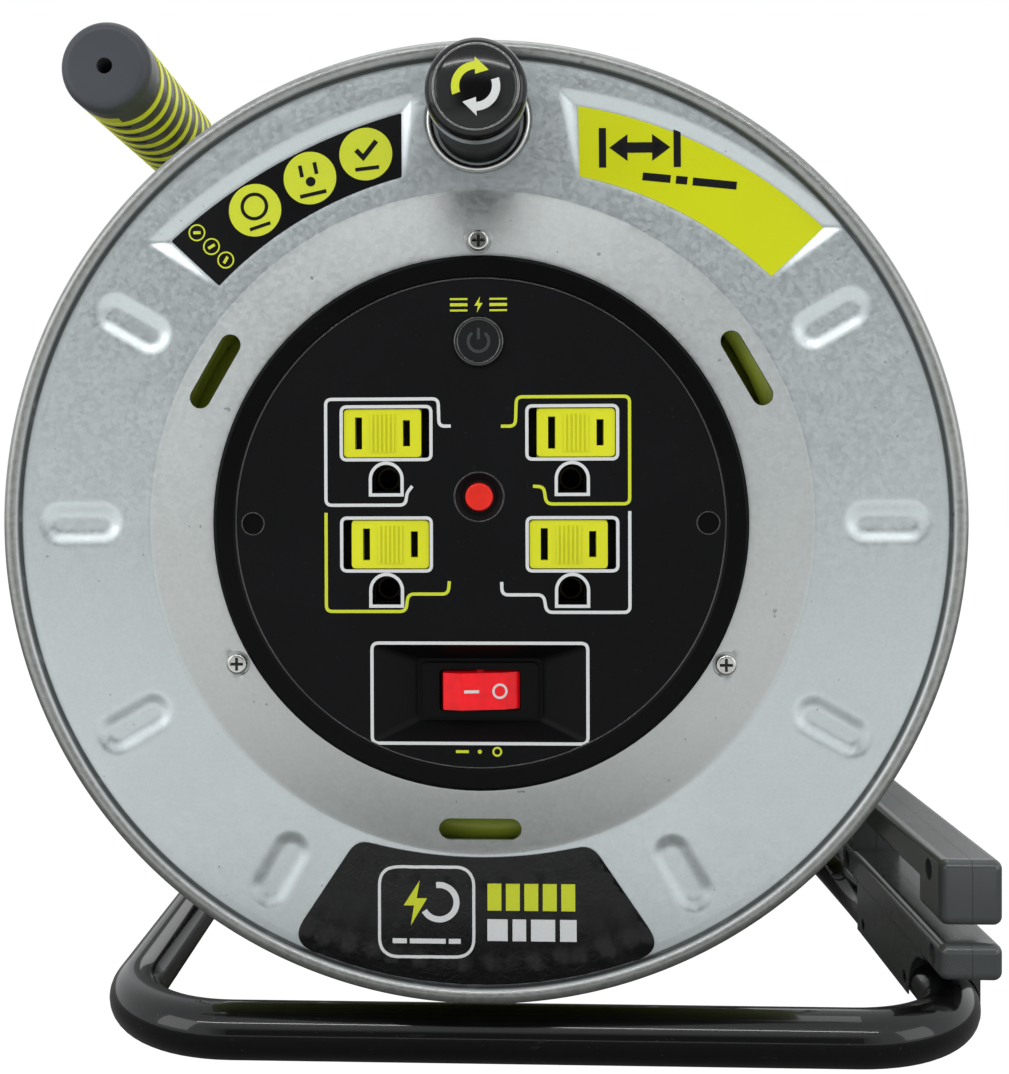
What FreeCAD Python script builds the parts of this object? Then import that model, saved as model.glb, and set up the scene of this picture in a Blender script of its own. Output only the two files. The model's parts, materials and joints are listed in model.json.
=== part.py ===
import FreeCAD, Part
import math
import os

# Extension cord reel: a pressed-steel drum with a socket panel, on a bent-tube stand.
# Sizes are in millimetres. The model is built about the drum's axis, with the front
# of the rolled rim at y = 0 and +y towards the back, and then moved so that the
# origin is on the ground under the middle of the whole object.

# Drum
rim_radius = 128.0
curl_radius = 2.3
sheet = 1.0
drum_width = 142.0
web_setback = 3.0
web_margin = 2.9
crease_setback = 2.1
crease_share = 0.307
crease_ramp = 5.5
seat_setback = 1.5
seat_outer = 71.0
panel_opening = 66.5
rib_width = 11.4
rib_margin = 2.0
rib_depth = 1.6
rib_step = 30.0
rib_slope = 1.4
press_slope = 0.7
label_margin = 1.75
label_depth = 0.7
left_label_angles = (99.5, 140.5)
right_label_angles = (39.5, 80.0)
front_rib_angles = (0.0, 30.0, 150.0, 180.0, 210.0, 240.0, 300.0, 330.0)
cord_slot_shift = 1.75
cord_slot_length = 22.0
cord_slot_width = 5.8
cord_slot_angles = (30.0, 150.0, 270.0)
core_radius = 77.5
core_wall = 2.0
seat_gap = 0.05
flange_screw_inset = 2.7
flange_screw_angles = (90.0, 210.0, 330.0)
boss_radius = 4.2
boss_length = 13.0
screw_radius = 1.5
screw_head_radius = 2.8
screw_head_height = 1.8
screw_length = 11.0
screw_clearance = 0.06
cross_width = 0.8
cross_depth = 1.1

# Hub
axle_radius = 8.0
axle_reach = 48.0
bush_wall = 2.0
bush_length = 14.0
bush_flange = 2.0
bush_flange_radius = 13.5
running_gap = 0.06
hub_wall = 3.0
hub_reach = 40.0
hub_disc_radius = 34.0
hub_disc_thickness = 3.0
hub_rivet_count = 6
hub_rivet_radius = 2.4
washer_thickness = 1.5
washer_radius = 14.0
clip_groove_depth = 1.0
clip_thickness = 1.5
clip_radius = 11.5
end_float = 0.3

# Panel
bezel_radius = 70.7
bezel_proud = 3.0
bezel_chamfer = 1.0
bezel_skirt_depth = 9.0
panel_gap = 0.25
faceplate_radius = 64.4
faceplate_proud = 2.5
faceplate_thickness = 3.0
housing_wall = 2.2
housing_depth = 52.0

# Outlets
outlet_columns = (-24.5, 24.5)
outlet_rows = (23.9, -5.5)
window_width = 22.8
window_height = 13.0
window_corner = 1.2
shutter_width = 20.5
shutter_lift = 0.4
shutter_fit = 0.15
shutter_lip = 1.2
shutter_lip_thickness = 1.1
ridge_count = 6
ridge_pitch = 1.15
ridge_width = 0.55
ridge_height = 0.4
blade_spacing = 12.7
blade_slot_width = 1.9
neutral_slot_height = 8.45
hot_slot_height = 6.9
ground_drop = 12.1
ground_width = 7.3
ground_height = 7.2
ground_lining = 0.5
outlet_width = 27.0
outlet_above = 10.0
outlet_below = 18.0
outlet_depth = 20.0
contact_thickness = 0.8
contact_length = 12.0
contact_inset = 5.0
contact_end_gap = 0.2

# Switch
switch_height = -44.8
switch_recess_width = 56.0
switch_recess_height = 25.6
switch_recess_corner = 1.5
switch_floor_width = 33.5
switch_floor_height = 16.7
switch_recess_depth = 7.0
recess_wall = 1.6
switch_rim_width = 31.0
switch_rim_height = 14.6
switch_rim_thickness = 1.4
switch_body_width = 27.0
switch_body_height = 12.0
switch_body_depth = 20.0
rocker_width = 20.6
rocker_height = 9.8
rocker_clearance = 0.55
rocker_proud = 2.6
rocker_chamfer = 4.3
rocker_chamfer_drop = 2.0
rocker_tilt = 9.0
rocker_pivot_depth = 1.0
rocker_pin_radius = 1.2

# Reset button and cut-out
reset_height = 7.0
reset_radius = 3.7
reset_dish_radius = 6.4
reset_dish_depth = 1.6
reset_travel = 1.8
reset_proud = 1.2
reset_collar_radius = 5.2
reset_collar_thickness = 1.2
breaker_width = 15.0
breaker_height = 13.0
breaker_depth = 26.0

# Power indicator
lens_height = 47.9
lens_radius = 5.3
lens_rim_radius = 6.1
lens_rim_thickness = 0.9
lens_depth = 7.0
lamp_radius = 2.6
lamp_length = 14.0

# Blanking plugs over the panel screws
plug_offset = 60.0
blank_radius = 2.9
blank_thickness = 1.4
blank_boss_radius = 4.3
blank_boss_depth = 5.5
panel_screw_head = 2.1

# Winding knob
knob_radius = 11.95
knob_foot_radius = 11.2
knob_cap_radius = 12.65
knob_reach = 29.5
knob_cap_height = 7.0
knob_bore = 4.1
knob_recess_depth = 1.8
knob_recess_margin = 1.4
spindle_head_radius = 7.0
spindle_head_height = 3.0
spindle_peen_radius = 6.0
spindle_peen_height = 0.6
knob_gap = 0.3

# Cable: 30 m on the drum
cable_diameter = 9.0
cable_length = 30000.0
layer_rise = 7.85
inner_layers = 3
outer_pitch = 9.6
outer_turns = 9
cable_gap = 0.3
channel_margin = 1.0
climb_angle = 95.0
winding_start_angle = 200.0
park_angle = 62.0
park_gap = 0.3
park_shift = 22.0
approach_angle = 100.0

# Plug
plug_length = 30.0
plug_width = 27.0
plug_height = 21.0
plug_nose_width = 24.0
plug_nose_height = 19.0
relief_length = 14.0
relief_tail_radius = 6.2
relief_root_radius = 8.2
blade_length = 16.0
blade_width = 6.35
blade_thickness = 1.5
pin_radius = 2.4
pin_length = 19.0
pin_shank_radius = 2.0
plug_bite = 8.0
pin_offset = 11.9

# Stand
tube_radius = 8.0
tube_wall = 1.5
ground_clearance = 15.0
bar_setback = 20.0
rear_gap = 16.0
left_run = 105.5
right_run = 138.5
base_bend = 35.0
rear_bend = 30.0
weld_gap = 0.4
hub_plate_width = 64.0
hub_plate_height = 72.0
hub_plate_thickness = 4.0
hub_plate_corner = 8.0
plate_gap = 0.05

# Grip
grip_reach_x = 110.6
grip_height = 133.7
grip_radius = 13.5
grip_front = 38.6
grip_back = 133.0
grip_ring_count = 9
grip_ring_width = 3.0
grip_ring_depth = 1.0
grip_first_ring = 53.0
grip_ring_pitch = 9.6
grip_body_relief = 0.3
cap_depth = 8.5
cap_round = 3.0
cap_hole_radius = 2.35
cap_spigot = 12.0
grip_slot_width = 5.0
grip_slot_length = 1.8
grip_slot_depth = 1.5

# Cable guide on the right base run
guide_half_width = 8.9
guide_front = 31.0
guide_back = 146.0
guide_top = 38.3
guide_bar_height = 11.0
guide_hook_drop = 7.7
guide_hook_length = 20.0
guide_mouth = 5.2
guide_rear_post = 12.0
guide_lower_height = 10.6
guide_round = 2.6
guide_skirt_front = 50.0
guide_skirt_back = 127.0
guide_skirt_drop = 4.0
guide_arch_rise = 12.0
guide_split = 0.1
guide_bore_gap = 0.1
guide_screw_radius = 1.6
guide_screw_head = 2.9
guide_screw_sink = 5.0
guide_screw_length = 8.6
grub_radius = 2.0
grub_positions = (69.0, 119.0)

# Places worked out from the sizes
crease_radius = seat_outer + crease_share * (rim_radius - seat_outer)
web_inner = crease_radius + crease_ramp
web_outer = rim_radius - 2 * curl_radius - web_margin
web_middle = (web_inner + web_outer) / 2
rib_length = web_outer - web_inner - 2 * rib_margin
cone_slope = (crease_setback - seat_setback) / (crease_radius - seat_outer)
cord_slot_radius = (seat_outer + crease_radius) / 2 + cord_slot_shift
axle_front = drum_width - axle_reach
hub_front = drum_width - hub_reach
rear_setback = drum_width + rear_gap + tube_radius
flange_screw_radius = core_radius - flange_screw_inset
panel_face = seat_setback - faceplate_proud
panel_back = panel_face + faceplate_thickness
ground = -(rim_radius + ground_clearance + tube_radius)
bar_height = ground + tube_radius
grip_axis = (-grip_reach_x, grip_height)
channel_front = web_setback + sheet + rib_depth + channel_margin
channel_back = drum_width - channel_front
plate_back = rear_setback - tube_radius - plate_gap
plate_front = plate_back - hub_plate_thickness
wound_radius = core_radius + cable_gap + cable_diameter + (inner_layers - 1) * layer_rise
outer_radius = wound_radius + cable_gap + cable_diameter / 2
guide_top_z = bar_height + tube_radius + guide_top
guide_bar_bottom = guide_top_z - guide_bar_height
guide_hook_bottom = guide_bar_bottom - guide_hook_drop
guide_lower_top = guide_hook_bottom - guide_mouth
guide_lower_bottom = guide_lower_top - guide_lower_height


def vec(x, y, z):
    return FreeCAD.Vector(x, y, z)


def polar(radius, degrees, y=0.0):
    """A point at a radius and an angle about the drum's axis."""
    a = math.radians(degrees)
    return vec(radius * math.cos(a), y, radius * math.sin(a))


def rod(radius, y0, y1, x=0.0, z=0.0):
    return Part.makeCylinder(radius, y1 - y0, vec(x, y0, z), vec(0, 1, 0))


def pipe(outer, inner, y0, y1, x=0.0, z=0.0):
    return rod(outer, y0, y1, x, z).cut(rod(inner, y0 - 1, y1 + 1, x, z))


def lathe(points):
    """Turn an outline of (radius, y) points about the drum's axis."""
    outline = [vec(r, y, 0) for r, y in points]
    face = Part.Face(Part.makePolygon(outline + outline[:1]))
    return face.revolve(vec(0, 0, 0), vec(0, 1, 0), 360)


def rounded(points, radius, y):
    """A closed outline in the plane y through (x, z) corners, each rounded."""
    edges = []
    stations = []
    count = len(points)
    for i in range(count):
        here = vec(points[i][0], y, points[i][1])
        before = vec(points[i - 1][0], y, points[i - 1][1]) - here
        after = vec(points[(i + 1) % count][0], y, points[(i + 1) % count][1]) - here
        before.normalize()
        after.normalize()
        half = before.getAngle(after) / 2
        reach = radius / math.tan(half)
        bisector = before + after
        bisector.normalize()
        apex = here + bisector * (radius / math.sin(half) - radius)
        stations.append((here + before * reach, apex, here + after * reach))
    for i in range(count):
        start, apex, end = stations[i]
        edges.append(Part.Arc(start, apex, end).toShape())
        edges.append(Part.LineSegment(end, stations[(i + 1) % count][0]).toShape())
    return Part.Wire(edges)


def rectangle(width, height, radius, y, x=0.0, z=0.0):
    w = width / 2
    h = height / 2
    return rounded([(x - w, z - h), (x + w, z - h), (x + w, z + h), (x - w, z + h)], radius, y)


def obround(length, width, y, centre, degrees):
    """A slot outline whose long side lies along an angle."""
    a = math.radians(degrees)
    along = vec(math.cos(a), 0, math.sin(a))
    across = vec(-math.sin(a), 0, math.cos(a))
    mid = vec(centre.x, y, centre.z)
    run = along * ((length - width) / 2)
    half = across * (width / 2)
    cap = along * (length / 2)
    return Part.Wire([
        Part.LineSegment(mid - run + half, mid + run + half).toShape(),
        Part.Arc(mid + run + half, mid + cap, mid + run - half).toShape(),
        Part.LineSegment(mid + run - half, mid - run - half).toShape(),
        Part.Arc(mid - run - half, mid - cap, mid - run + half).toShape(),
    ])


def circle(radius, y, centre):
    return Part.Wire(Part.makeCircle(radius, vec(centre.x, y, centre.z), vec(0, 1, 0)))


def prism(wire, depth):
    return Part.Face(wire).extrude(vec(0, depth, 0))


def block(x0, x1, y0, y1, z0, z1):
    return Part.makeBox(x1 - x0, y1 - y0, z1 - z0, vec(x0, y0, z0))


def group(shapes):
    return Part.makeCompound(shapes)


def fused(shapes):
    return shapes[0].multiFuse(shapes[1:]).removeSplitter()


# Pressed flanges

def sector(inner, outer, first, last, grow, y):
    """An outline between two radii and two angles, grown by a margin."""
    low = inner - grow
    high = outer + grow
    turn = math.degrees(grow / ((inner + outer) / 2))
    start = first - turn
    end = last + turn
    middle = (start + end) / 2
    return Part.Wire([
        Part.Arc(polar(low, start, y), polar(low, middle, y), polar(low, end, y)).toShape(),
        Part.LineSegment(polar(low, end, y), polar(high, end, y)).toShape(),
        Part.Arc(polar(high, end, y), polar(high, middle, y), polar(high, start, y)).toShape(),
        Part.LineSegment(polar(high, start, y), polar(low, start, y)).toShape(),
    ])


def pressed(disc, outline, depth, slope=press_slope):
    """Press a pocket into the web: the same wall goes on behind it."""
    lead = 0.5
    fall = slope * depth
    pocket = Part.makeLoft([outline(slope * lead, web_setback - lead),
                            outline(-fall, web_setback + depth)], True, True)
    back = Part.makeLoft([outline(sheet * 0.6, web_setback + sheet / 2),
                          outline(sheet * 0.6 - fall, web_setback + depth + sheet)], True, True)
    return disc.fuse(back).cut(pocket)


def web_disc(opening):
    """The turned sheet with its seat, crease and web, and the rolled edge."""
    front = [
        (opening, seat_setback), (seat_outer, seat_setback), (crease_radius, crease_setback),
        (web_inner, web_setback), (rim_radius - curl_radius, web_setback),
    ]
    behind = [(r, y + sheet) for r, y in reversed(front)]
    curl = Part.makeTorus(rim_radius - curl_radius, curl_radius, vec(0, curl_radius, 0), vec(0, 1, 0))
    return lathe(front + behind).fuse(curl).removeSplitter()


def rib_outline(degrees):
    centre = polar(web_middle, degrees)
    return lambda grow, y: obround(rib_length + 2 * grow, rib_width + 2 * grow, y, centre, degrees)


def label_outline(angles):
    inner = web_inner + label_margin
    outer = web_outer - label_margin
    return lambda grow, y: sector(inner, outer, angles[0], angles[1], grow, y)


def knob_seat_outline(grow, y):
    return circle(knob_foot_radius + knob_recess_margin + grow, y, polar(web_middle, 90.0))


def screw_holes(angles):
    return [rod(screw_radius + screw_clearance, -1, boss_length + 8, *spot(flange_screw_radius, a))
            for a in angles]


def spot(radius, degrees):
    p = polar(radius, degrees)
    return p.x, p.z


def screw_seats(angles):
    """Small flats pressed into the cone under the screw heads."""
    return [rod(screw_head_radius + 0.4, -1, screw_seat_y(), *spot(flange_screw_radius, a)) for a in angles]


def screw_seat_y():
    return seat_setback + cone_slope * (flange_screw_radius - seat_outer) + 0.3


def front_flange():
    disc = web_disc(panel_opening)
    for degrees in front_rib_angles:
        disc = pressed(disc, rib_outline(degrees), rib_depth, rib_slope)
    for angles in (left_label_angles, right_label_angles):
        disc = pressed(disc, label_outline(angles), label_depth)
    disc = pressed(disc, knob_seat_outline, knob_recess_depth)
    cuts = [prism(obround(cord_slot_length, cord_slot_width, -2, polar(cord_slot_radius, a), a + 90), 20)
            for a in cord_slot_angles]
    cuts += screw_holes(flange_screw_angles)
    cuts += screw_seats(flange_screw_angles)
    cuts.append(rod(spindle_radius() + seat_gap, -2, 20, *spot(web_middle, 90.0)))
    return disc.cut(cuts)


def mirrored(shape):
    """The same piece at the other end of the drum."""
    return shape.mirror(vec(0, drum_width / 2, 0), vec(0, 1, 0))


def rear_flange():
    disc = web_disc(hub_outer() + 0.2)
    ribs = int(round(360 / rib_step))
    for i in range(ribs):
        disc = pressed(disc, rib_outline(i * rib_step), rib_depth, rib_slope)
    cuts = screw_holes(flange_screw_angles) + screw_seats(flange_screw_angles)
    cuts += [rod(hub_rivet_radius + seat_gap, -2, 20, *spot(hub_rivet_circle(), a)) for a in hub_rivet_angles()]
    return mirrored(disc.cut(cuts))


# Barrel between the flanges

def flange_keepout(reach):
    """The space in front of a line that follows the back of the flange."""
    return lathe([
        (0, -5), (reach, -5),
        (reach, seat_back(reach)), (seat_outer, seat_back(seat_outer)), (0, seat_back(seat_outer)),
    ])


def seat_back(radius):
    return seat_setback + sheet + seat_gap + cone_slope * max(radius - seat_outer, 0)


def drum_core():
    barrel = pipe(core_radius, core_radius - core_wall, 0, drum_width)
    inside = rod(core_radius, 0, drum_width)
    bosses = []
    for a in flange_screw_angles:
        x, z = spot(flange_screw_radius, a)
        bosses.append(rod(boss_radius, 0, boss_length + seat_setback, x, z).common(inside))
    end = fused([barrel] + bosses + [mirrored(b) for b in bosses])
    holes = screw_holes(flange_screw_angles)
    keep = flange_keepout(core_radius + 2)
    cuts = holes + [mirrored(h) for h in holes] + [keep, mirrored(keep)]
    cuts.append(radial_rod(gland_radius() + 0.1, core_radius - 5, core_radius + 5, gland_angle(), gland_y()))
    return end.cut(cuts)


def radial_rod(radius, r0, r1, degrees, y):
    direction = polar(1.0, degrees)
    return Part.makeCylinder(radius, r1 - r0, polar(r0, degrees, y), direction)


def gland_radius():
    return cable_diameter / 2 + 2.0


def gland_angle():
    return winding_start_angle - 90.0


def gland_y():
    return channel_back - gland_radius() - 4


def cable_gland():
    """The grommet where the cable leaves the barrel."""
    body = radial_rod(gland_radius(), core_radius - 8, core_radius - 0.2, gland_angle(), gland_y())
    collar = radial_rod(gland_radius() + 2, core_radius - 8, core_radius - core_wall - 0.5,
                        gland_angle(), gland_y())
    bore = radial_rod(cable_diameter / 2, core_radius - 10, core_radius + 1, gland_angle(), gland_y())
    return body.fuse(collar).cut(bore).removeSplitter()


def pan_screw(x, z, seat):
    """A pan-head screw with a cross recess, its head in front of the seat."""
    shank = rod(screw_radius, seat - 0.5, seat + screw_length, x, z)
    head = rod(screw_head_radius, seat - screw_head_height, seat, x, z)
    rim = head.Edges[0]
    for edge in head.Edges:
        if abs(edge.BoundBox.YMax - (seat - screw_head_height)) < 1e-6 and edge.BoundBox.YLength < 1e-6:
            rim = edge
    head = head.makeFillet(screw_head_height * 0.45, [rim])
    top = seat - screw_head_height
    arm = screw_head_radius * 0.62
    half = cross_width / 2
    across = block(x - arm, x + arm, top - 1, top + cross_depth, z - half, z + half)
    upright = block(x - half, x + half, top - 1, top + cross_depth, z - arm, z + arm)
    return head.fuse(shank).cut([across, upright])


def flange_screws():
    return group([pan_screw(*spot(flange_screw_radius, a), screw_seat_y()) for a in flange_screw_angles])


# Hub and axle

def hub_outer():
    return axle_radius + running_gap + bush_wall + running_gap + hub_wall


def hub_rivet_circle():
    return (hub_outer() + hub_disc_radius) / 2 + 1


def hub_rivet_angles():
    return [i * 360.0 / hub_rivet_count for i in range(hub_rivet_count)]


def rear_seat():
    """Inner face of the rear flange round the hub."""
    return drum_width - seat_setback - sheet


def hub_back():
    return plate_front - washer_thickness - end_float - bush_flange


def hub_housing():
    disc_back = rear_seat() - seat_gap
    bore = axle_radius + running_gap + bush_wall + running_gap / 2
    outer = hub_outer()
    body = lathe([
        (bore, hub_front), (outer, hub_front), (outer, disc_back - hub_disc_thickness - 6),
        (outer + 4, disc_back - hub_disc_thickness), (hub_disc_radius, disc_back - hub_disc_thickness),
        (hub_disc_radius, disc_back), (outer, disc_back), (outer, hub_back()), (bore, hub_back()),
    ])
    return body.cut([rod(hub_rivet_radius + seat_gap, disc_back - 10, disc_back + 5, *spot(hub_rivet_circle(), a))
                     for a in hub_rivet_angles()])


def hub_rivets():
    front = rear_seat() - seat_gap - hub_disc_thickness
    back = drum_width - seat_setback
    rivets = []
    for a in hub_rivet_angles():
        x, z = spot(hub_rivet_circle(), a)
        shank = rod(hub_rivet_radius, front - 1, back + 1, x, z)
        heads = [rod(hub_rivet_radius + 1.6, front - 1.4, front, x, z),
                 rod(hub_rivet_radius + 1.6, back, back + 1.4, x, z)]
        rivets.append(fused([shank] + heads))
    return group(rivets)


def bush(y0, inward):
    """A flanged plain bearing: the flange sits outside the housing's end."""
    bore = axle_radius + running_gap
    outer = bore + bush_wall
    edge = y0 - inward * bush_flange
    far = y0 + inward * bush_length
    sleeve = pipe(outer, bore, min(edge, far), max(edge, far))
    flange = pipe(bush_flange_radius, bore, min(edge, y0), max(edge, y0))
    return sleeve.fuse(flange).removeSplitter()


def axle():
    groove_y = clip_y()
    bar = rod(axle_radius, axle_front, plate_back)
    groove = pipe(axle_radius + 1, axle_radius - clip_groove_depth, groove_y - 0.05,
                  groove_y + clip_thickness + seat_gap)
    tip = [e for e in bar.Edges if e.BoundBox.YLength < 1e-6 and abs(e.BoundBox.YMin - axle_front) < 1e-6]
    return bar.makeChamfer(1.0, tip).cut(groove)


def clip_y():
    return hub_front - bush_flange - end_float - washer_thickness - clip_thickness - 0.05


def axle_washer():
    front = hub_front - bush_flange - end_float - washer_thickness
    return pipe(washer_radius, axle_radius + running_gap, front, front + washer_thickness)


def axle_clip():
    """A spring clip snapped into the axle's groove, open at the bottom."""
    y = clip_y()
    ring = pipe(clip_radius, axle_radius - clip_groove_depth + seat_gap, y, y + clip_thickness)
    mouth = block(-4, 4, y - 1, y + clip_thickness + 1, -clip_radius - 1, 0)
    return ring.cut(mouth)


def thrust_washer():
    back = plate_front - 0.02
    return pipe(washer_radius + 2, axle_radius + running_gap, back - washer_thickness, back)


# Socket panel

def panel_bezel():
    front = seat_setback - bezel_proud
    inner = faceplate_radius + panel_gap
    skirt = panel_opening - 0.2
    return lathe([
        (inner, front + 0.5), (inner + 0.6, front), (bezel_radius - bezel_chamfer, front),
        (bezel_radius, front + bezel_chamfer), (bezel_radius, seat_setback - 0.02),
        (skirt, seat_setback - 0.02), (skirt, bezel_skirt_depth), (inner, bezel_skirt_depth),
    ])


def outlet_places():
    return [(x, z) for z in outlet_rows for x in outlet_columns]


def ground_outline(grow, y, x, z):
    """The D-shaped ground hole, its round side up."""
    half = ground_width / 2 + grow
    low = z - ground_drop - ground_height / 2 - grow
    crown = z - ground_drop + ground_height / 2 + grow
    spring = crown - half
    return Part.Wire([
        Part.LineSegment(vec(x - half, y, low), vec(x + half, y, low)).toShape(),
        Part.LineSegment(vec(x + half, y, low), vec(x + half, y, spring)).toShape(),
        Part.Arc(vec(x + half, y, spring), vec(x, y, crown), vec(x - half, y, spring)).toShape(),
        Part.LineSegment(vec(x - half, y, spring), vec(x - half, y, low)).toShape(),
    ])


def switch_funnel(grow, y0, y1):
    """The bevelled recess that leads down to the rocker."""
    share = (switch_recess_width - switch_floor_width) / 2 / switch_recess_depth
    rise = (switch_recess_height - switch_floor_height) / 2 / switch_recess_depth
    wires = []
    for y in (y0, y1):
        fall = y - panel_face
        width = switch_recess_width - 2 * share * fall + 2 * grow
        height = switch_recess_height - 2 * rise * fall + 2 * grow
        wires.append(rectangle(width, height, switch_recess_corner, y, 0, switch_height))
    return Part.makeLoft(wires, True, True)


def switch_floor():
    return panel_face + switch_recess_depth


def faceplate():
    plate = rod(faceplate_radius, panel_face, panel_back)
    bosses = [rod(blank_boss_radius, panel_face + 1, panel_back + blank_boss_depth, side * plug_offset, 0)
              .common(rod(faceplate_radius - housing_wall - 0.4, panel_face, panel_back + blank_boss_depth))
              for side in (-1, 1)]
    funnel = switch_funnel(recess_wall, panel_face + 0.5, switch_floor())
    floor = prism(rectangle(switch_floor_width + 2 * recess_wall, switch_floor_height + 2 * recess_wall,
                            switch_recess_corner, switch_floor(), 0, switch_height), recess_wall)
    plate = fused([plate] + bosses + [funnel, floor])
    cuts = [switch_funnel(0, panel_face - 0.01, switch_floor())]
    cuts.append(prism(rectangle(switch_body_width + 0.3, switch_body_height + 0.3, 0.5,
                                switch_floor() - 1, 0, switch_height), 10))
    for x, z in outlet_places():
        cuts.append(prism(rectangle(window_width, window_height, window_corner, panel_face - 1, x, z),
                          faceplate_thickness + 2))
        cuts.append(prism(ground_outline(0, panel_face - 1, x, z), faceplate_thickness + 2))
    cuts.append(dish())
    cuts.append(rod(reset_radius + 0.25, panel_face - 1, panel_back + 1, 0, reset_height))
    cuts.append(rod(lens_radius + 0.1, panel_face - 1, panel_back + 1, 0, lens_height))
    for side in (-1, 1):
        x = side * plug_offset
        cuts.append(rod(blank_radius + 0.06, panel_face - 1, blank_seat(), x, 0))
        cuts.append(rod(screw_radius + screw_clearance, panel_face, panel_back + blank_boss_depth + 1, x, 0))
    return plate.cut(cuts)


def blank_seat():
    return panel_back + blank_boss_depth - 1.5


def dish():
    """The dark hollow round the reset button."""
    return Part.makeCone(reset_dish_radius + 0.7, reset_radius + 0.8, reset_dish_depth + 0.7,
                         vec(0, panel_face - 0.7, reset_height), vec(0, 1, 0))


def panel_screws():
    screws = []
    for side in (-1, 1):
        x = side * plug_offset
        seat = blank_seat()
        screw = fused([rod(screw_radius, seat - 0.5, seat + screw_length, x, 0),
                       rod(panel_screw_head, seat - 2, seat, x, 0)])
        slot = block(x - 2, x + 2, seat - 3, seat - 1.2, -cross_width / 2, cross_width / 2)
        screws.append(screw.cut(slot))
    return group(screws)


def panel_plugs():
    blanks = []
    for side in (-1, 1):
        blank = rod(blank_radius, panel_face + 0.3, panel_face + 0.3 + blank_thickness + 1, side * plug_offset, 0)
        hollow = rod(blank_radius - 0.8, panel_face + 0.3 + blank_thickness, panel_face + 4, side * plug_offset, 0)
        blanks.append(blank.cut(hollow))
    return group(blanks)


def socket_housing():
    outer = faceplate_radius + panel_gap - 0.1
    cup = pipe(outer, outer - housing_wall, panel_back + seat_gap, housing_depth)
    bottom = rod(outer, housing_depth - housing_wall, housing_depth)
    bosses = []
    for side in (-1, 1):
        x = side * plug_offset
        bosses.append(rod(blank_boss_radius, panel_back + blank_boss_depth + seat_gap, housing_depth - 1, x, 0)
                      .common(rod(outer - 0.5, 0, housing_depth)))
    cup = fused([cup, bottom] + bosses)
    holes = [rod(screw_radius + screw_clearance, panel_back, panel_back + 20, side * plug_offset, 0)
             for side in (-1, 1)]
    return cup.cut(holes)


def outlet_front():
    return panel_back + shutter_lip_thickness + shutter_fit


def rest_side(x, z):
    """Which end of its window each cover rests at: -1 left, 1 right."""
    upper = z > (outlet_rows[0] + outlet_rows[1]) / 2
    left = x < 0
    return -1 if upper == left else 1


def shutter_travel():
    return window_width - shutter_width - 2 * shutter_fit


def shutter(x, z):
    """A sliding cover with two blade slots, grip ridges and a hidden retaining lip."""
    centre = x + rest_side(x, z) * shutter_travel() / 2
    front = panel_face + shutter_lift
    height = window_height - 2 * shutter_fit
    lip_y = panel_back + seat_gap
    body = prism(rectangle(shutter_width, height, window_corner - shutter_fit, front, centre, z),
                 lip_y - front)
    lip = prism(rectangle(shutter_width, height + 2 * shutter_lip, 0.6, lip_y, centre, z),
                shutter_lip_thickness)
    parts = [body, lip]
    first = centre - (ridge_count - 1) * ridge_pitch / 2
    for i in range(ridge_count):
        rx = first + i * ridge_pitch
        parts.append(block(rx - ridge_width / 2, rx + ridge_width / 2, front - ridge_height, front + 0.5,
                           z - height / 2 + 1.4, z + height / 2 - 1.4))
    whole = fused(parts)
    cuts = []
    for side, tall in ((-1, neutral_slot_height), (1, hot_slot_height)):
        sx = centre + side * blade_spacing / 2
        cuts.append(block(sx - blade_slot_width / 2, sx + blade_slot_width / 2, front - 2, 20,
                          z - tall / 2, z + tall / 2))
    return whole.cut(cuts)


def open_shift(x, z):
    """Where a cover's centre is when its slots line up with the contacts."""
    return x - rest_side(x, z) * shutter_travel() / 2


def outlet_body(x, z):
    front = outlet_front()
    body = prism(rounded([(x - outlet_width / 2, z - outlet_below), (x + outlet_width / 2, z - outlet_below),
                          (x + outlet_width / 2, z + outlet_above), (x - outlet_width / 2, z + outlet_above)],
                         2.0, front), outlet_depth)
    neck = prism(ground_outline(-0.15, panel_back + seat_gap, x, z), outlet_front() - panel_back)
    well_depth = front + contact_inset + contact_length + contact_end_gap - panel_face
    cuts = [prism(ground_outline(-ground_lining, panel_face, x, z), well_depth)]
    for side, tall in ((-1, neutral_slot_height), (1, hot_slot_height)):
        sx = open_shift(x, z) + side * blade_spacing / 2
        cuts.append(block(sx - blade_slot_width / 2, sx + blade_slot_width / 2, front - 1, front + 4,
                          z - tall / 2, z + tall / 2))
        cuts.append(block(sx - 2.2, sx + 2.2, front + 3, front + outlet_depth - 2,
                          z - tall / 2 - 0.3, z + tall / 2 + 0.3))
    return body.fuse(neck).removeSplitter().cut(cuts)


def blade_contacts(side, tall):
    """Spring-leaf pairs that grip one blade in each outlet."""
    leaves = []
    for x, z in outlet_places():
        sx = open_shift(x, z) + side * blade_spacing / 2
        y0 = outlet_front() + contact_inset
        for face in (-1, 1):
            inner = sx + face * (blade_thickness / 2 + 0.25)
            outer = inner + face * contact_thickness
            leaves.append(block(min(inner, outer), max(inner, outer), y0, y0 + contact_length,
                                z - tall / 2, z + tall / 2))
    return group(leaves)


def ground_contacts():
    sleeves = []
    for x, z in outlet_places():
        y0 = outlet_front() + contact_inset
        sleeves.append(pipe(ground_height / 2 - ground_lining - seat_gap, pin_radius + 0.1,
                            y0, y0 + contact_length, x, z - ground_drop))
    return group(sleeves)


# Switch

def rocker_pivot():
    return switch_floor() + rocker_pivot_depth


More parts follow.
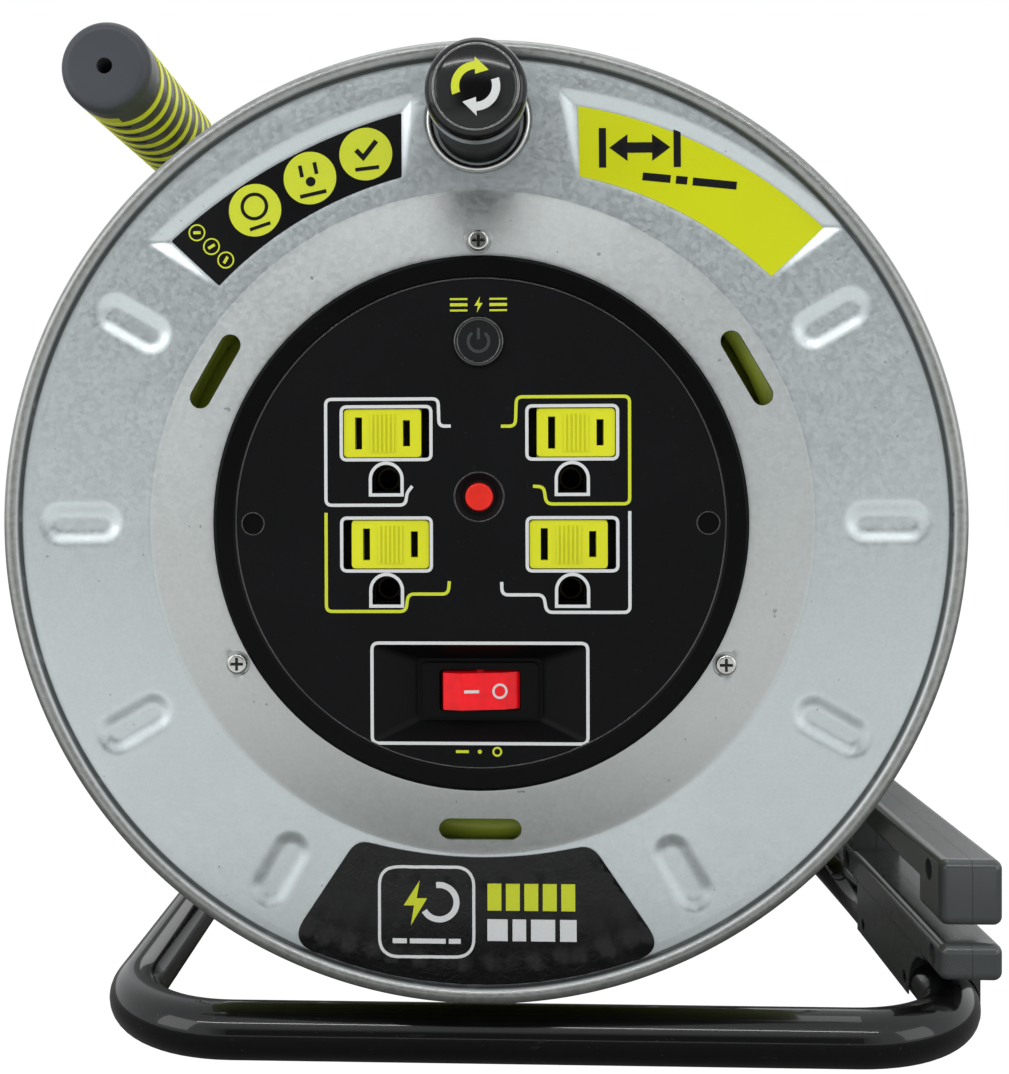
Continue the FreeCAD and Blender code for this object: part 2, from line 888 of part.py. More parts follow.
def switch_body():
    floor = switch_floor()
    rim = prism(rectangle(switch_rim_width, switch_rim_height, 1.2, floor - switch_rim_thickness - 0.02,
                          0, switch_height), switch_rim_thickness)
    body = prism(rectangle(switch_body_width, switch_body_height, 0.4, floor - 0.1, 0, switch_height),
                 switch_body_depth)
    well = prism(rectangle(rocker_width + 2 * rocker_clearance, rocker_height + 2 * rocker_clearance, 0.8,
                           floor - 5, 0, switch_height), 5 + rocker_pivot_depth + 4.4)
    return fused([rim, body]).cut([well, rocker_pin(0.06, rocker_height + 2 * 1.0)])


def rocker_pin(grow, length):
    base = vec(0, rocker_pivot(), switch_height - length / 2)
    return Part.makeCylinder(rocker_pin_radius + grow, length, base, vec(0, 0, 1))


def rocker():
    """A convex rocker with bevelled ends, drawn level and then tilted to off."""
    top = switch_floor() - switch_rim_thickness - rocker_proud
    half = rocker_width / 2
    low = rocker_pivot() + 1.6
    flat = half - rocker_chamfer
    profile = [
        vec(-half + 1.2, low, 0), vec(-half, rocker_pivot() - 1.5, 0), vec(-half, top + rocker_chamfer_drop, 0),
        vec(-flat, top, 0), vec(flat, top, 0), vec(half, top + rocker_chamfer_drop, 0),
        vec(half, rocker_pivot() - 1.5, 0), vec(half - 1.2, low, 0),
    ]
    body = Part.Face(Part.makePolygon(profile + profile[:1])).extrude(vec(0, 0, rocker_height))
    body.translate(vec(0, 0, switch_height - rocker_height / 2))
    whole = body.fuse(rocker_pin(0, rocker_height + 2 * 0.9)).removeSplitter()
    return whole.rotate(vec(0, rocker_pivot(), 0), vec(0, 0, 1), rocker_tilt)


# Thermal cut-out

def breaker_front():
    return panel_back + seat_gap


def reset_top():
    return panel_face - reset_proud + reset_dish_depth


def reset_button():
    collar_y = breaker_front() + 2.6
    stem = rod(reset_radius, reset_top(), collar_y + 2.5, 0, reset_height)
    rim = [e for e in stem.Edges if e.BoundBox.YLength < 1e-6 and abs(e.BoundBox.YMin - reset_top()) < 1e-6]
    stem = stem.makeFillet(0.6, rim)
    collar = rod(reset_collar_radius, collar_y, collar_y + reset_collar_thickness, 0, reset_height)
    return stem.fuse(collar).removeSplitter()


def breaker_body():
    front = breaker_front()
    case = block(-breaker_width / 2, breaker_width / 2, front, front + breaker_depth,
                 reset_height - breaker_height / 2, reset_height + breaker_height / 2)
    chamber_end = front + 2.6 + reset_collar_thickness + reset_travel + 5.0
    well = rod(reset_collar_radius + 0.25, front + 2.5, chamber_end, 0, reset_height)
    mouth = rod(reset_radius + 0.25, front - 1, front + 3, 0, reset_height)
    return case.cut([well, mouth])


def reset_spring():
    """The return spring, as its closed guide sleeve behind the collar."""
    start = breaker_front() + 2.6 + 2.5 + reset_travel + 0.3
    end = breaker_front() + 2.6 + reset_collar_thickness + reset_travel + 5.0
    return pipe(reset_radius - 0.2, reset_radius - 1.2, start, end, 0, reset_height)


# Power indicator

def indicator_lens():
    front = panel_face - lens_rim_thickness
    rim = rod(lens_rim_radius, front, panel_face - 0.02, 0, lens_height)
    edge = [e for e in rim.Edges if e.BoundBox.YLength < 1e-6 and abs(e.BoundBox.YMin - front) < 1e-6]
    rim = rim.makeFillet(0.5, edge)
    body = pipe(lens_radius, lens_radius - 1.2, front + 0.3, lens_depth, 0, lens_height)
    return rim.fuse(body).removeSplitter()


def indicator_lamp():
    start = panel_face + 1.2
    bulb = rod(lamp_radius, start, start + lamp_length, 0, lens_height)
    base = rod(lens_radius + 1.5, lens_depth + seat_gap, lens_depth + 6, 0, lens_height)
    return bulb.fuse(base).removeSplitter()


# Winding knob

def spindle_radius():
    return knob_bore - 0.06


def knob_floor():
    return web_setback + knob_recess_depth


def knob_front():
    return -knob_reach


def knob_spindle():
    """A headed steel pin, peened over flat behind the flange so that the cable clears it."""
    x, z = spot(web_middle, 90.0)
    head_back = knob_front() + knob_cap_height + spindle_head_height
    peen_front = knob_floor() + sheet + 0.02
    shaft = rod(spindle_radius(), head_back - 1, peen_front + spindle_peen_height / 2, x, z)
    head = rod(spindle_head_radius, head_back - spindle_head_height, head_back, x, z)
    peen = rod(spindle_peen_radius, peen_front, peen_front + spindle_peen_height, x, z)
    return fused([shaft, head, peen])


def knob_grip():
    """The turning sleeve: tapered, with a foot bead and finger flutes."""
    x, z = spot(web_middle, 90.0)
    front = knob_front() + knob_cap_height
    back = knob_floor() - knob_gap
    head_back = front + spindle_head_height + 0.25
    body = lathe([
        (knob_bore, head_back), (spindle_head_radius + 0.3, head_back), (spindle_head_radius + 0.3, front + seat_gap),
        (knob_radius, front + seat_gap), (knob_radius, front + 10), (knob_foot_radius, back - 4),
        (knob_foot_radius, back), (knob_bore, back),
    ])
    body.translate(vec(x, 0, z))
    return body


def knob_cap():
    """A domed cap inside a bevelled ring, closing the front of the knob."""
    x, z = spot(web_middle, 90.0)
    front = knob_front()
    back = front + knob_cap_height
    outline = Part.Wire([
        Part.LineSegment(vec(0, back, 0), vec(0, front, 0)).toShape(),
        Part.Arc(vec(0, front, 0), vec(4.9, front + 0.35, 0), vec(9.6, front + 1.5, 0)).toShape(),
        Part.LineSegment(vec(9.6, front + 1.5, 0), vec(10.4, front + 1.1, 0)).toShape(),
        Part.Arc(vec(10.4, front + 1.1, 0), vec(11.9, front + 1.9, 0),
                 vec(knob_cap_radius, front + 3.6, 0)).toShape(),
        Part.LineSegment(vec(knob_cap_radius, front + 3.6, 0), vec(knob_cap_radius, back, 0)).toShape(),
        Part.LineSegment(vec(knob_cap_radius, back, 0), vec(0, back, 0)).toShape(),
    ])
    cap = Part.Face(outline).revolve(vec(0, 0, 0), vec(0, 1, 0), 360)
    cap.translate(vec(x, 0, z))
    return cap


# Cable

def arc_through(a, corner, b):
    """A circular arc from a to b, tangent to the lines a-corner and corner-b."""
    chord_mid = (a + b) * 0.5
    up = corner - chord_mid
    side = (corner - a).Length
    half = (b - a).Length / 2
    angle = math.acos(min(1.0, half / side))
    if angle < 1e-6:
        return Part.LineSegment(a, b).toShape()
    up.normalize()
    return Part.Arc(a, chord_mid + up * (half * math.tan(angle / 2)), b).toShape()


def biarc(p0, t0, p1, t1):
    """Two arcs that leave p0 along t0 and reach p1 along t1."""
    span = p1 - p0
    both = t0 + t1
    a = 2 * (t0.dot(t1) - 1)
    b = -2 * span.dot(both)
    c = span.dot(span)
    if abs(a) < 1e-9:
        reach = -c / b
    else:
        reach = (-b - math.sqrt(b * b - 4 * a * c)) / (2 * a)
    q0 = p0 + t0 * reach
    q1 = p1 - t1 * reach
    joint = (q0 + q1) * 0.5
    return [arc_through(p0, q0, joint), arc_through(joint, q1, p1)]


def coil_tangent(degrees, pitch):
    """Direction of a turn that advances by a pitch along the drum."""
    a = math.radians(degrees)
    step = vec(-math.sin(a), pitch / (2 * math.pi * outer_radius), math.cos(a))
    step.normalize()
    return step


def plug_frame():
    """Where the parked plug lies: its tail, its axis, and its up direction."""
    up = polar(1.0, park_angle)
    along = vec(-up.z, 0, up.x)
    y = channel_back - plug_width / 2 - channel_margin
    middle = up * (wound_radius + park_gap + plug_height / 2) + vec(0, y, 0)
    tail = middle + along * (park_shift - plug_length - relief_length)
    return tail, along, up


def winding_route():
    """Out of the layer below, round the drum, and up to the plug."""
    lead = cable_diameter
    start_y = channel_front + cable_diameter / 2
    sunk_radius = wound_radius - cable_diameter / 2
    start = polar(sunk_radius, winding_start_angle, start_y)
    out = coil_tangent(winding_start_angle, 0)
    edges = [Part.LineSegment(start, start + out * lead).toShape()]
    here = start + out * lead
    tangent = out
    tail, along, up = plug_frame()
    finish = tail - along * lead
    finish_angle = math.degrees(math.atan2(finish.z, finish.x)) % 360
    last = finish_angle - approach_angle
    first = winding_start_angle + 90.0
    total = outer_turns * 360.0 + ((last - first) % 360.0)
    steps = int(math.ceil(total / 180.0))
    for i in range(steps + 1):
        degrees = first + total * i / steps
        y = start_y + outer_pitch * (degrees - winding_start_angle) / 360.0
        point = polar(outer_radius, degrees, y)
        direction = coil_tangent(degrees, outer_pitch)
        edges += biarc(here, tangent, point, direction)
        here = point
        tangent = direction
    edges += biarc(here, tangent, finish, along)
    edges.append(Part.LineSegment(finish, tail).toShape())
    return edges


def cable_winding():
    edges = winding_route()
    path = Part.Wire(edges)
    start = edges[0].valueAt(edges[0].FirstParameter)
    profile = Part.Wire(Part.makeCircle(cable_diameter / 2, start, edges[0].tangentAt(edges[0].FirstParameter)))
    solid = path.makePipeShell([profile], True, False)
    if solid.Volume < 0:
        solid.reverse()
    length = path.Length
    section = math.pi * cable_diameter ** 2 / 4
    points = path.discretize(Distance=6.0)
    skip = int(0.4 * 2 * math.pi * outer_radius / 6.0)
    least = min((points[i] - points[j]).Length for i in range(len(points)) for j in range(i + skip, len(points)))
    hidden = cable_length - length
    print("winding: length %.0f mm, volume over section x length %.4f" % (length, solid.Volume / section / length))
    print("winding: least gap to itself %.2f mm, inner layers hold %.0f mm" % (least - cable_diameter, hidden))
    print("winding: smallest radius %.1f mm" % min(e.Curve.Radius for e in edges if hasattr(e.Curve, "Radius")))
    return solid


def cable_core():
    """The layers under the outer one, with the groove that the cable climbs out of."""
    body = pipe(wound_radius, core_radius + cable_gap, channel_front, channel_back)
    clear = cable_diameter / 2 + 0.45
    start_y = channel_front + cable_diameter / 2
    low = wound_radius - cable_diameter - 0.45
    profile = Part.makePolygon([vec(low, channel_front - 1, 0), vec(wound_radius + 2, channel_front - 1, 0),
                                vec(wound_radius + 2, start_y + clear, 0), vec(low, start_y + clear, 0),
                                vec(low, channel_front - 1, 0)])
    groove = Part.Face(profile).revolve(vec(0, 0, 0), vec(0, 1, 0), -climb_angle)
    groove.rotate(vec(0, 0, 0), vec(0, 1, 0), -winding_start_angle)
    return body.cut(groove)


def placed_on_plug(shape):
    """Move a piece drawn along +X, with up +Z, to the parked plug's tail."""
    tail, along, up = plug_frame()
    side = up.cross(along)
    matrix = FreeCAD.Matrix(along.x, side.x, up.x, tail.x,
                            along.y, side.y, up.y, tail.y,
                            along.z, side.z, up.z, tail.z,
                            0, 0, 0, 1)
    return shape.transformed(matrix)


def yz_rectangle(width, height, corner, x):
    flat = rectangle(width, height, corner, 0)
    flat.rotate(vec(0, 0, 0), vec(0, 0, 1), 90)
    flat.translate(vec(x, 0, 0))
    return flat


def plug_body():
    """Moulded plug: tapered body and ribbed strain relief with a cable bore's end face."""
    body = Part.makeLoft([yz_rectangle(plug_width - 5, plug_height - 3, 5.0, relief_length - 1),
                          yz_rectangle(plug_width, plug_height, 6.0, relief_length + 10),
                          yz_rectangle(plug_nose_width, plug_nose_height, 5.0, relief_length + plug_length)],
                         True, True)
    relief = Part.makeCone(relief_tail_radius, relief_root_radius, relief_length, vec(0, 0, 0), vec(1, 0, 0))
    rings = []
    for i in range(3):
        x = 1.8 + 4.0 * i
        mean = relief_tail_radius + (relief_root_radius - relief_tail_radius) * x / relief_length
        groove = Part.makeCylinder(mean + 2, 1.6, vec(x, 0, 0), vec(1, 0, 0))
        rings.append(groove.cut(Part.makeCylinder(mean - 1.0, 1.6, vec(x, 0, 0), vec(1, 0, 0))))
    whole = body.fuse(relief).removeSplitter().cut(rings)
    cuts = [plug_blade(side, 0.02) for side in (-1, 1)] + [plug_pin(0.02)]
    return placed_on_plug(whole.cut(cuts))


def plug_blade(side, grow):
    x0 = plug_nose() - plug_bite - grow
    y = side * blade_spacing / 2
    t = blade_thickness / 2 + grow
    w = blade_width / 2 + grow
    lift = pin_offset / 2 - 1.5
    return Part.makeBox(plug_bite + blade_length + grow, 2 * t, 2 * w, vec(x0, y - t, lift - w))


def plug_nose():
    return relief_length + plug_length


def plug_pin(grow):
    """The round pin, and the thinner shank that the body is moulded round."""
    lift = -pin_offset / 2 - 1.5
    pin = Part.makeCylinder(pin_radius, pin_length, vec(plug_nose(), 0, lift), vec(1, 0, 0))
    root = vec(plug_nose() - plug_bite - grow, 0, lift)
    shank = Part.makeCylinder(pin_shank_radius + grow, plug_bite + grow + 0.5, root, vec(1, 0, 0))
    return pin.fuse(shank).removeSplitter()


def plug_blades():
    return placed_on_plug(group([plug_blade(-1, 0), plug_blade(1, 0), plug_pin(0)]))


# Stand

def bent_wire(points, radii):
    """Straight runs joined by tangent arcs."""
    edges = []
    here = points[0]
    for i in range(1, len(points) - 1):
        corner = points[i]
        before = points[i - 1] - corner
        after = points[i + 1] - corner
        before.normalize()
        after.normalize()
        half = before.getAngle(after) / 2
        reach = radii[i - 1] / math.tan(half)
        start = corner + before * reach
        end = corner + after * reach
        edges.append(Part.LineSegment(here, start).toShape())
        edges.append(arc_through(start, corner, end))
        here = end
    edges.append(Part.LineSegment(here, points[-1]).toShape())
    return Part.Wire(edges)


def swept(wire, radius):
    first = wire.Edges[0]
    start = first.valueAt(first.FirstParameter)
    profile = Part.Wire(Part.makeCircle(radius, start, first.tangentAt(first.FirstParameter)))
    return wire.makePipeShell([profile], True, False)


def stand_points():
    top = vec(grip_axis[0], rear_setback, grip_axis[1])
    low = vec(right_run, rear_setback, bar_height)
    left_low = vec(-left_run, rear_setback, bar_height)
    diagonal = low - top
    diagonal.normalize()
    foot = top + diagonal * (vec(0, rear_setback, 0) - top).dot(diagonal)
    upright = foot - left_low
    upright.normalize()
    angle = upright.getAngle(diagonal)
    stop = tube_radius / math.sin(angle) + tube_radius / abs(math.tan(angle)) + weld_gap
    return [
        vec(grip_axis[0], tube_start(), grip_axis[1]), top, low, vec(right_run, bar_setback, bar_height),
        vec(-left_run, bar_setback, bar_height), left_low, foot - upright * stop,
    ]


def tube_start():
    return grip_front + cap_depth + seat_gap


def frame_tube():
    """One bent tube: grip, diagonal, right run, front bar, left run, left upright."""
    wire = bent_wire(stand_points(), [rear_bend, rear_bend, base_bend, base_bend, rear_bend])
    tube = swept(wire, tube_radius).cut(swept(wire, tube_radius - tube_wall))
    holes = [Part.makeCylinder(grub_radius + 0.06, tube_radius, vec(right_run - tube_radius - 1, y, bar_height),
                               vec(1, 0, 0)) for y in grub_positions]
    return tube.cut(holes)


def hub_plate():
    plate = prism(rectangle(hub_plate_width, hub_plate_height, hub_plate_corner, plate_front), hub_plate_thickness)
    return plate.cut(rod(axle_radius + 0.03, plate_front - 1, plate_back + 1))


# Grip

def ring_places():
    return [grip_first_ring + i * grip_ring_pitch for i in range(grip_ring_count)
            if grip_first_ring + i * grip_ring_pitch + grip_ring_width < grip_back]


def grip_sleeve():
    x, z = grip_axis
    front = tube_start() - 0.02
    outer = grip_radius - grip_body_relief
    sleeve = pipe(outer, tube_radius + 0.08, front, grip_back, x, z)
    grooves = [pipe(grip_radius + 2, grip_radius - grip_ring_depth, y, y + grip_ring_width, x, z)
               for y in ring_places()]
    slots = []
    for y in ring_places():
        mid = y + (grip_ring_pitch + grip_ring_width) / 2
        if mid + grip_slot_length < grip_back:
            slots.append(block(x - grip_slot_width / 2, x + grip_slot_width / 2, mid - grip_slot_length / 2,
                               mid + grip_slot_length / 2, z - grip_radius - 1,
                               z - outer + grip_slot_depth))
    return sleeve.cut(grooves + slots)


def grip_rings():
    x, z = grip_axis
    return group([pipe(grip_radius, grip_radius - grip_ring_depth + 0.04, y + 0.02, y + grip_ring_width - 0.02, x, z)
                  for y in ring_places()])


def grip_end_cap():
    x, z = grip_axis
    back = grip_front + cap_depth
    cap = rod(grip_radius, grip_front, back, x, z)
    rim = [e for e in cap.Edges if e.BoundBox.YLength < 1e-6 and abs(e.BoundBox.YMin - grip_front) < 1e-6]
    cap = cap.makeFillet(cap_round, rim)
    spigot = rod(tube_radius - tube_wall - 0.08, back - 1, back + cap_spigot, x, z)
    return cap.fuse(spigot).removeSplitter().cut(rod(cap_hole_radius, grip_front - 1, back + cap_spigot + 1, x, z))


# Cable guide

def guide_box(half, y0, y1, z0, z1):
    return block(right_run - half, right_run + half, y0, y1, z0, z1)


def guide_solid():
    """Upper bar with its front hook, rear post, lower bar and the skirt over the tube."""
    hook_back = guide_front + guide_hook_length
    upper = guide_box(guide_half_width, guide_front, guide_back, guide_bar_bottom, guide_top_z)
    hook = guide_box(guide_half_width, guide_front, hook_back, guide_hook_bottom, guide_top_z)
    top = soft_edges(upper.fuse(hook).removeSplitter(), guide_round)
    lower = soft_edges(guide_box(guide_half_width, guide_front, guide_back, guide_lower_bottom, guide_lower_top),
                       guide_round)
    post = guide_box(guide_half_width - 0.8, guide_back - guide_rear_post, guide_back - 0.8,
                     guide_lower_top - 2, guide_bar_bottom + 2)
    skirt_low = bar_height - guide_skirt_drop
    skirt = guide_box(guide_half_width - 0.4, guide_skirt_front, guide_skirt_back, skirt_low,
                      guide_lower_bottom + 2)
    body = fused([top, lower, post, skirt])
    bore = rod(tube_radius + guide_bore_gap, guide_front - 20, guide_back + 20, right_run, bar_height)
    below = guide_box(tube_radius + guide_bore_gap, guide_front - 20, guide_back + 20, skirt_low - 10, bar_height)
    arch = Part.makeCylinder(bar_height - skirt_low + guide_arch_rise, guide_half_width + 1,
                             vec(right_run - guide_half_width - 1, guide_skirt_front - 1, skirt_low), vec(1, 0, 0))
    return body.cut([bore, below, arch])


def soft_edges(shape, radius):
    """Round the long edges and the front corners of a guide bar."""
    edges = []
    for edge in shape.Edges:
        box = edge.BoundBox
        outside = abs(abs((box.XMin + box.XMax) / 2 - right_run) - guide_half_width) < 1e-6
        along = box.XLength < 1e-6 and box.ZLength < 1e-6
        at_front = abs(box.YMin - guide_front) < 1e-6 and box.YLength < 1e-6
        if (along and outside) or at_front:
            edges.append(edge)
    return shape.makeFillet(radius, edges)


def guide_screw_places():
    middle = (guide_lower_top + guide_lower_bottom) / 2
    upper = (guide_top_z + guide_bar_bottom) / 2
    return [(guide_front + 11.5, upper), (guide_front + 8.0, middle), (guide_back - 6.0, upper),
            (guide_back - 6.0, middle)]


def guide_halves():
    body = guide_solid()
    cuts = []
    for y, z in guide_screw_places():
        left = right_run - guide_half_width
        cuts.append(Part.makeCylinder(guide_screw_head + 0.15, guide_screw_sink, vec(left - 0.01, y, z), vec(1, 0, 0)))
        cuts.append(Part.makeCylinder(guide_screw_radius + 0.06, guide_screw_sink + guide_screw_length + 0.4,
                                      vec(left, y, z), vec(1, 0, 0)))
    for y in grub_positions:
        cuts.append(Part.makeCylinder(grub_radius + 0.06, guide_half_width, vec(right_run - guide_half_width - 1, y,
                                                                                 bar_height), vec(1, 0, 0)))
    body = body.cut(cuts)
    half = guide_split / 2
    reach = guide_half_width + 1
    low = bar_height - guide_skirt_drop - 1
    ends = (guide_front - 1, guide_back + 1, low, guide_top_z + 1)
    left = body.common(block(right_run - reach, right_run - half, *ends))
    right = body.common(block(right_run + half, right_run + reach, *ends))
    return left, right


def guide_screws():
    screws = []
    for y, z in guide_screw_places():
        seat = right_run - guide_half_width + guide_screw_sink - seat_gap
        head = Part.makeCylinder(guide_screw_head, 2.0, vec(seat - 2.0, y, z), vec(1, 0, 0))
        shank = Part.makeCylinder(guide_screw_radius, guide_screw_length, vec(seat - 0.5, y, z), vec(1, 0, 0))
        slot = block(seat - 3, seat - 1.1, y - 2.0, y + 2.0, z - cross_width / 2, z + cross_width / 2)
        screws.append(head.fuse(shank).removeSplitter().cut(slot))
    for y in grub_positions:
        start = right_run - guide_half_width + 0.6
        grub = Part.makeCylinder(grub_radius, 4.0, vec(start, y, bar_height), vec(1, 0, 0))
        socket = Part.makeCylinder(grub_radius * 0.5, 1.6, vec(start - 0.1, y, bar_height), vec(1, 0, 0))
        screws.append(grub.cut(socket))
    return group(screws)


def origin_shift():
    """From the drum's axis to the ground under the middle of the whole object."""
    left = -max(rim_radius, left_run + tube_radius, grip_reach_x + grip_radius)
    right = max(right_run + guide_half_width, rim_radius)
    front = knob_front()
    back = rear_setback + tube_radius
    return vec(-(left + right) / 2, -(front + back) / 2, -ground)


def outlet_names():
    return ["upper_left", "upper_right", "lower_left", "lower_right"]


def all_nodes():
    left, right = guide_halves()
    screws = flange_screws()
    nodes = {
        "frame_tube": frame_tube(),
        "hub_plate": hub_plate(),
        "axle": axle(),
        "axle_washer": axle_washer(),
        "axle_clip": axle_clip(),
        "thrust_washer": thrust_washer(),
        "grip_sleeve": grip_sleeve(),
        "grip_rings": grip_rings(),
        "grip_end_cap": grip_end_cap(),
        "guide_half_left": left,
        "guide_half_right": right,
        "guide_screws": guide_screws(),
        "front_flange": front_flange(),
        "rear_flange": rear_flange(),
        "drum_core": drum_core(),
        "flange_screws_front": screws,
        "flange_screws_rear": mirrored(screws),
        "hub_housing": hub_housing(),
        "hub_rivets": hub_rivets(),
        "hub_bush_front": bush(hub_front, 1),
        "hub_bush_rear": bush(hub_back(), -1),
        "panel_bezel": panel_bezel(),
        "faceplate": faceplate(),
        "panel_screws": panel_screws(),
        "panel_plugs": panel_plugs(),
        "socket_housing": socket_housing(),
        "hot_contacts": blade_contacts(1, hot_slot_height),
        "neutral_contacts": blade_contacts(-1, neutral_slot_height),
        "ground_contacts": ground_contacts(),
        "switch_body": switch_body(),
        "rocker": rocker(),
        "breaker_body": breaker_body(),
        "reset_button": reset_button(),
        "reset_spring": reset_spring(),
        "indicator_lens": indicator_lens(),
        "indicator_lamp": indicator_lamp(),
        "knob_spindle": knob_spindle(),
        "knob_grip": knob_grip(),
        "knob_cap": knob_cap(),
        "cable_gland": cable_gland(),
        "cable_core": cable_core(),
        "cable_winding": cable_winding(),
        "plug_body": plug_body(),
        "plug_blades": plug_blades(),
    }
    for name, (x, z) in zip(outlet_names(), outlet_places()):
        nodes["outlet_body_" + name] = outlet_body(x, z)
        nodes["shutter_" + name] = shutter(x, z)
    return nodes


def main():
    os.makedirs("parts", exist_ok=True)
    shift = origin_shift()
    for name, shape in all_nodes().items():
        placed = shape.copy()
        placed.translate(shift)
        placed.exportStep("parts/" + name + ".step")


main()
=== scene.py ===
"""Looks of an extension cord reel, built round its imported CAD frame.

Lengths are written in millimetres about the drum's axis, with the front of the
rolled rim at y = 0 and +y to the back. DrumSpace turns them into metres of the
shared frame.
"""

from __future__ import annotations

import json
import logging
import math
from abc import ABC, abstractmethod
from dataclasses import dataclass
from enum import Enum
from typing import Callable, Mapping, Optional, Sequence, Union

import bmesh
import bpy
from mathutils import Matrix, Vector
from mathutils.geometry import delaunay_2d_cdt

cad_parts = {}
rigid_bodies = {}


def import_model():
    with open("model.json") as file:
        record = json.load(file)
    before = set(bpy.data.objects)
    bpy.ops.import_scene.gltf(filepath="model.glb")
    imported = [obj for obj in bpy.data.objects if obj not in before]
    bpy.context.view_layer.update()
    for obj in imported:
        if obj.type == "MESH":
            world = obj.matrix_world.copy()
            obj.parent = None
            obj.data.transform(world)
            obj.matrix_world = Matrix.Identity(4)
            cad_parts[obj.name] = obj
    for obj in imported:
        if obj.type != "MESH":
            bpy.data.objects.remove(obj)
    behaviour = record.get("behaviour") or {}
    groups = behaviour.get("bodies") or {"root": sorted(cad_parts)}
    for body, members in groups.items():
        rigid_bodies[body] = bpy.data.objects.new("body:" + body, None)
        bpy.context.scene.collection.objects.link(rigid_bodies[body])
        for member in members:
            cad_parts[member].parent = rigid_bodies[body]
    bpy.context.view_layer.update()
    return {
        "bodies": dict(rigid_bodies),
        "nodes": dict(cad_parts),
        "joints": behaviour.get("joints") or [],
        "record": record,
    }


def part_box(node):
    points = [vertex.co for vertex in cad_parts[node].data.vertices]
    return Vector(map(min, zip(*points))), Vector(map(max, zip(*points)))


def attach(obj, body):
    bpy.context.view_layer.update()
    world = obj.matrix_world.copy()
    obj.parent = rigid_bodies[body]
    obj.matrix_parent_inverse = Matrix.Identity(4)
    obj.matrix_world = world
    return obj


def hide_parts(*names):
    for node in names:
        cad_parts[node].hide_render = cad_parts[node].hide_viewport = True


LOG = logging.getLogger("cord_reel")
MM = 0.001
SHORT_RUN = 0.48

Colour = tuple[float, float, float]
Point2 = tuple[float, float]
Placement = Callable[[float, float, float], Vector]

# Places about the drum's axis that several pieces share, in millimetres
ORIGIN: Point2 = (0.0, 0.0)
DRUM_WIDTH = 142.0
WEB_MIDDLE = 107.25
KNOB_CENTRE: Point2 = (0.0, WEB_MIDDLE)
LENS_CENTRE: Point2 = (0.0, 47.9)
GRIP_AXIS: Point2 = (-110.6, 133.7)
SCREW_CIRCLE = 74.8
SCREW_ANGLES = (90.0, 210.0, 330.0)


class Body(str, Enum):
    """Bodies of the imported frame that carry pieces."""

    FRAME = "frame"
    DRUM = "drum"
    KNOB = "knob"
    ROCKER = "rocker"


class Slot(str, Enum):
    """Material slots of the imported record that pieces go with."""

    TUBE = "tube_black"
    ZINC = "zinc_sheet"
    STEEL = "steel_bright"
    PANEL = "panel_black"
    LIME = "lime_plastic"
    CABLE = "lime_cable"
    ROCKER = "rocker_red"
    LENS = "lens_smoke"
    KNOB = "knob_black"


def scaled(colour: Colour, share: float) -> Colour:
    """Scale each part of a colour."""
    return tuple(part * share for part in colour)


@dataclass(frozen=True)
class DrumSpace:
    """Places millimetres about the drum's front centre in metres of the shared frame."""

    origin: Vector

    @classmethod
    def from_frame(cls) -> "DrumSpace":
        """Read the drum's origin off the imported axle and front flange.

        Returns:
            The space of this part's drum.
        """
        low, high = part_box("axle")
        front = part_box("front_flange")[0].y
        return cls(Vector(((low.x + high.x) / 2, front, (low.z + high.z) / 2)))

    def point(self, x: float, y: float, z: float) -> Vector:
        """Place one point."""
        return self.origin + Vector((x, y, z)) * MM

    def polar(self, radius: float, degrees: float, y: float) -> Vector:
        """Place a point given by radius and angle about the axis."""
        turn = math.radians(degrees)
        return self.point(radius * math.cos(turn), y, radius * math.sin(turn))


# Shader graphs


class NodeKind(str, Enum):
    """Shader nodes that the finishes use."""

    MATH = "ShaderNodeMath"
    VECTOR_MATH = "ShaderNodeVectorMath"
    MAP_RANGE = "ShaderNodeMapRange"
    MIX = "ShaderNodeMix"
    NOISE = "ShaderNodeTexNoise"
    CELLS = "ShaderNodeTexVoronoi"
    COORDINATES = "ShaderNodeTexCoord"
    SEPARATE = "ShaderNodeSeparateXYZ"
    COMBINE = "ShaderNodeCombineXYZ"
    BUMP = "ShaderNodeBump"
    PRINCIPLED = "ShaderNodeBsdfPrincipled"
    EMISSION = "ShaderNodeEmission"
    DIFFUSE = "ShaderNodeBsdfDiffuse"
    MIX_SHADER = "ShaderNodeMixShader"
    LIGHT_PATH = "ShaderNodeLightPath"
    BACKGROUND = "ShaderNodeBackground"
    SURFACE_OUTPUT = "ShaderNodeOutputMaterial"
    WORLD_OUTPUT = "ShaderNodeOutputWorld"


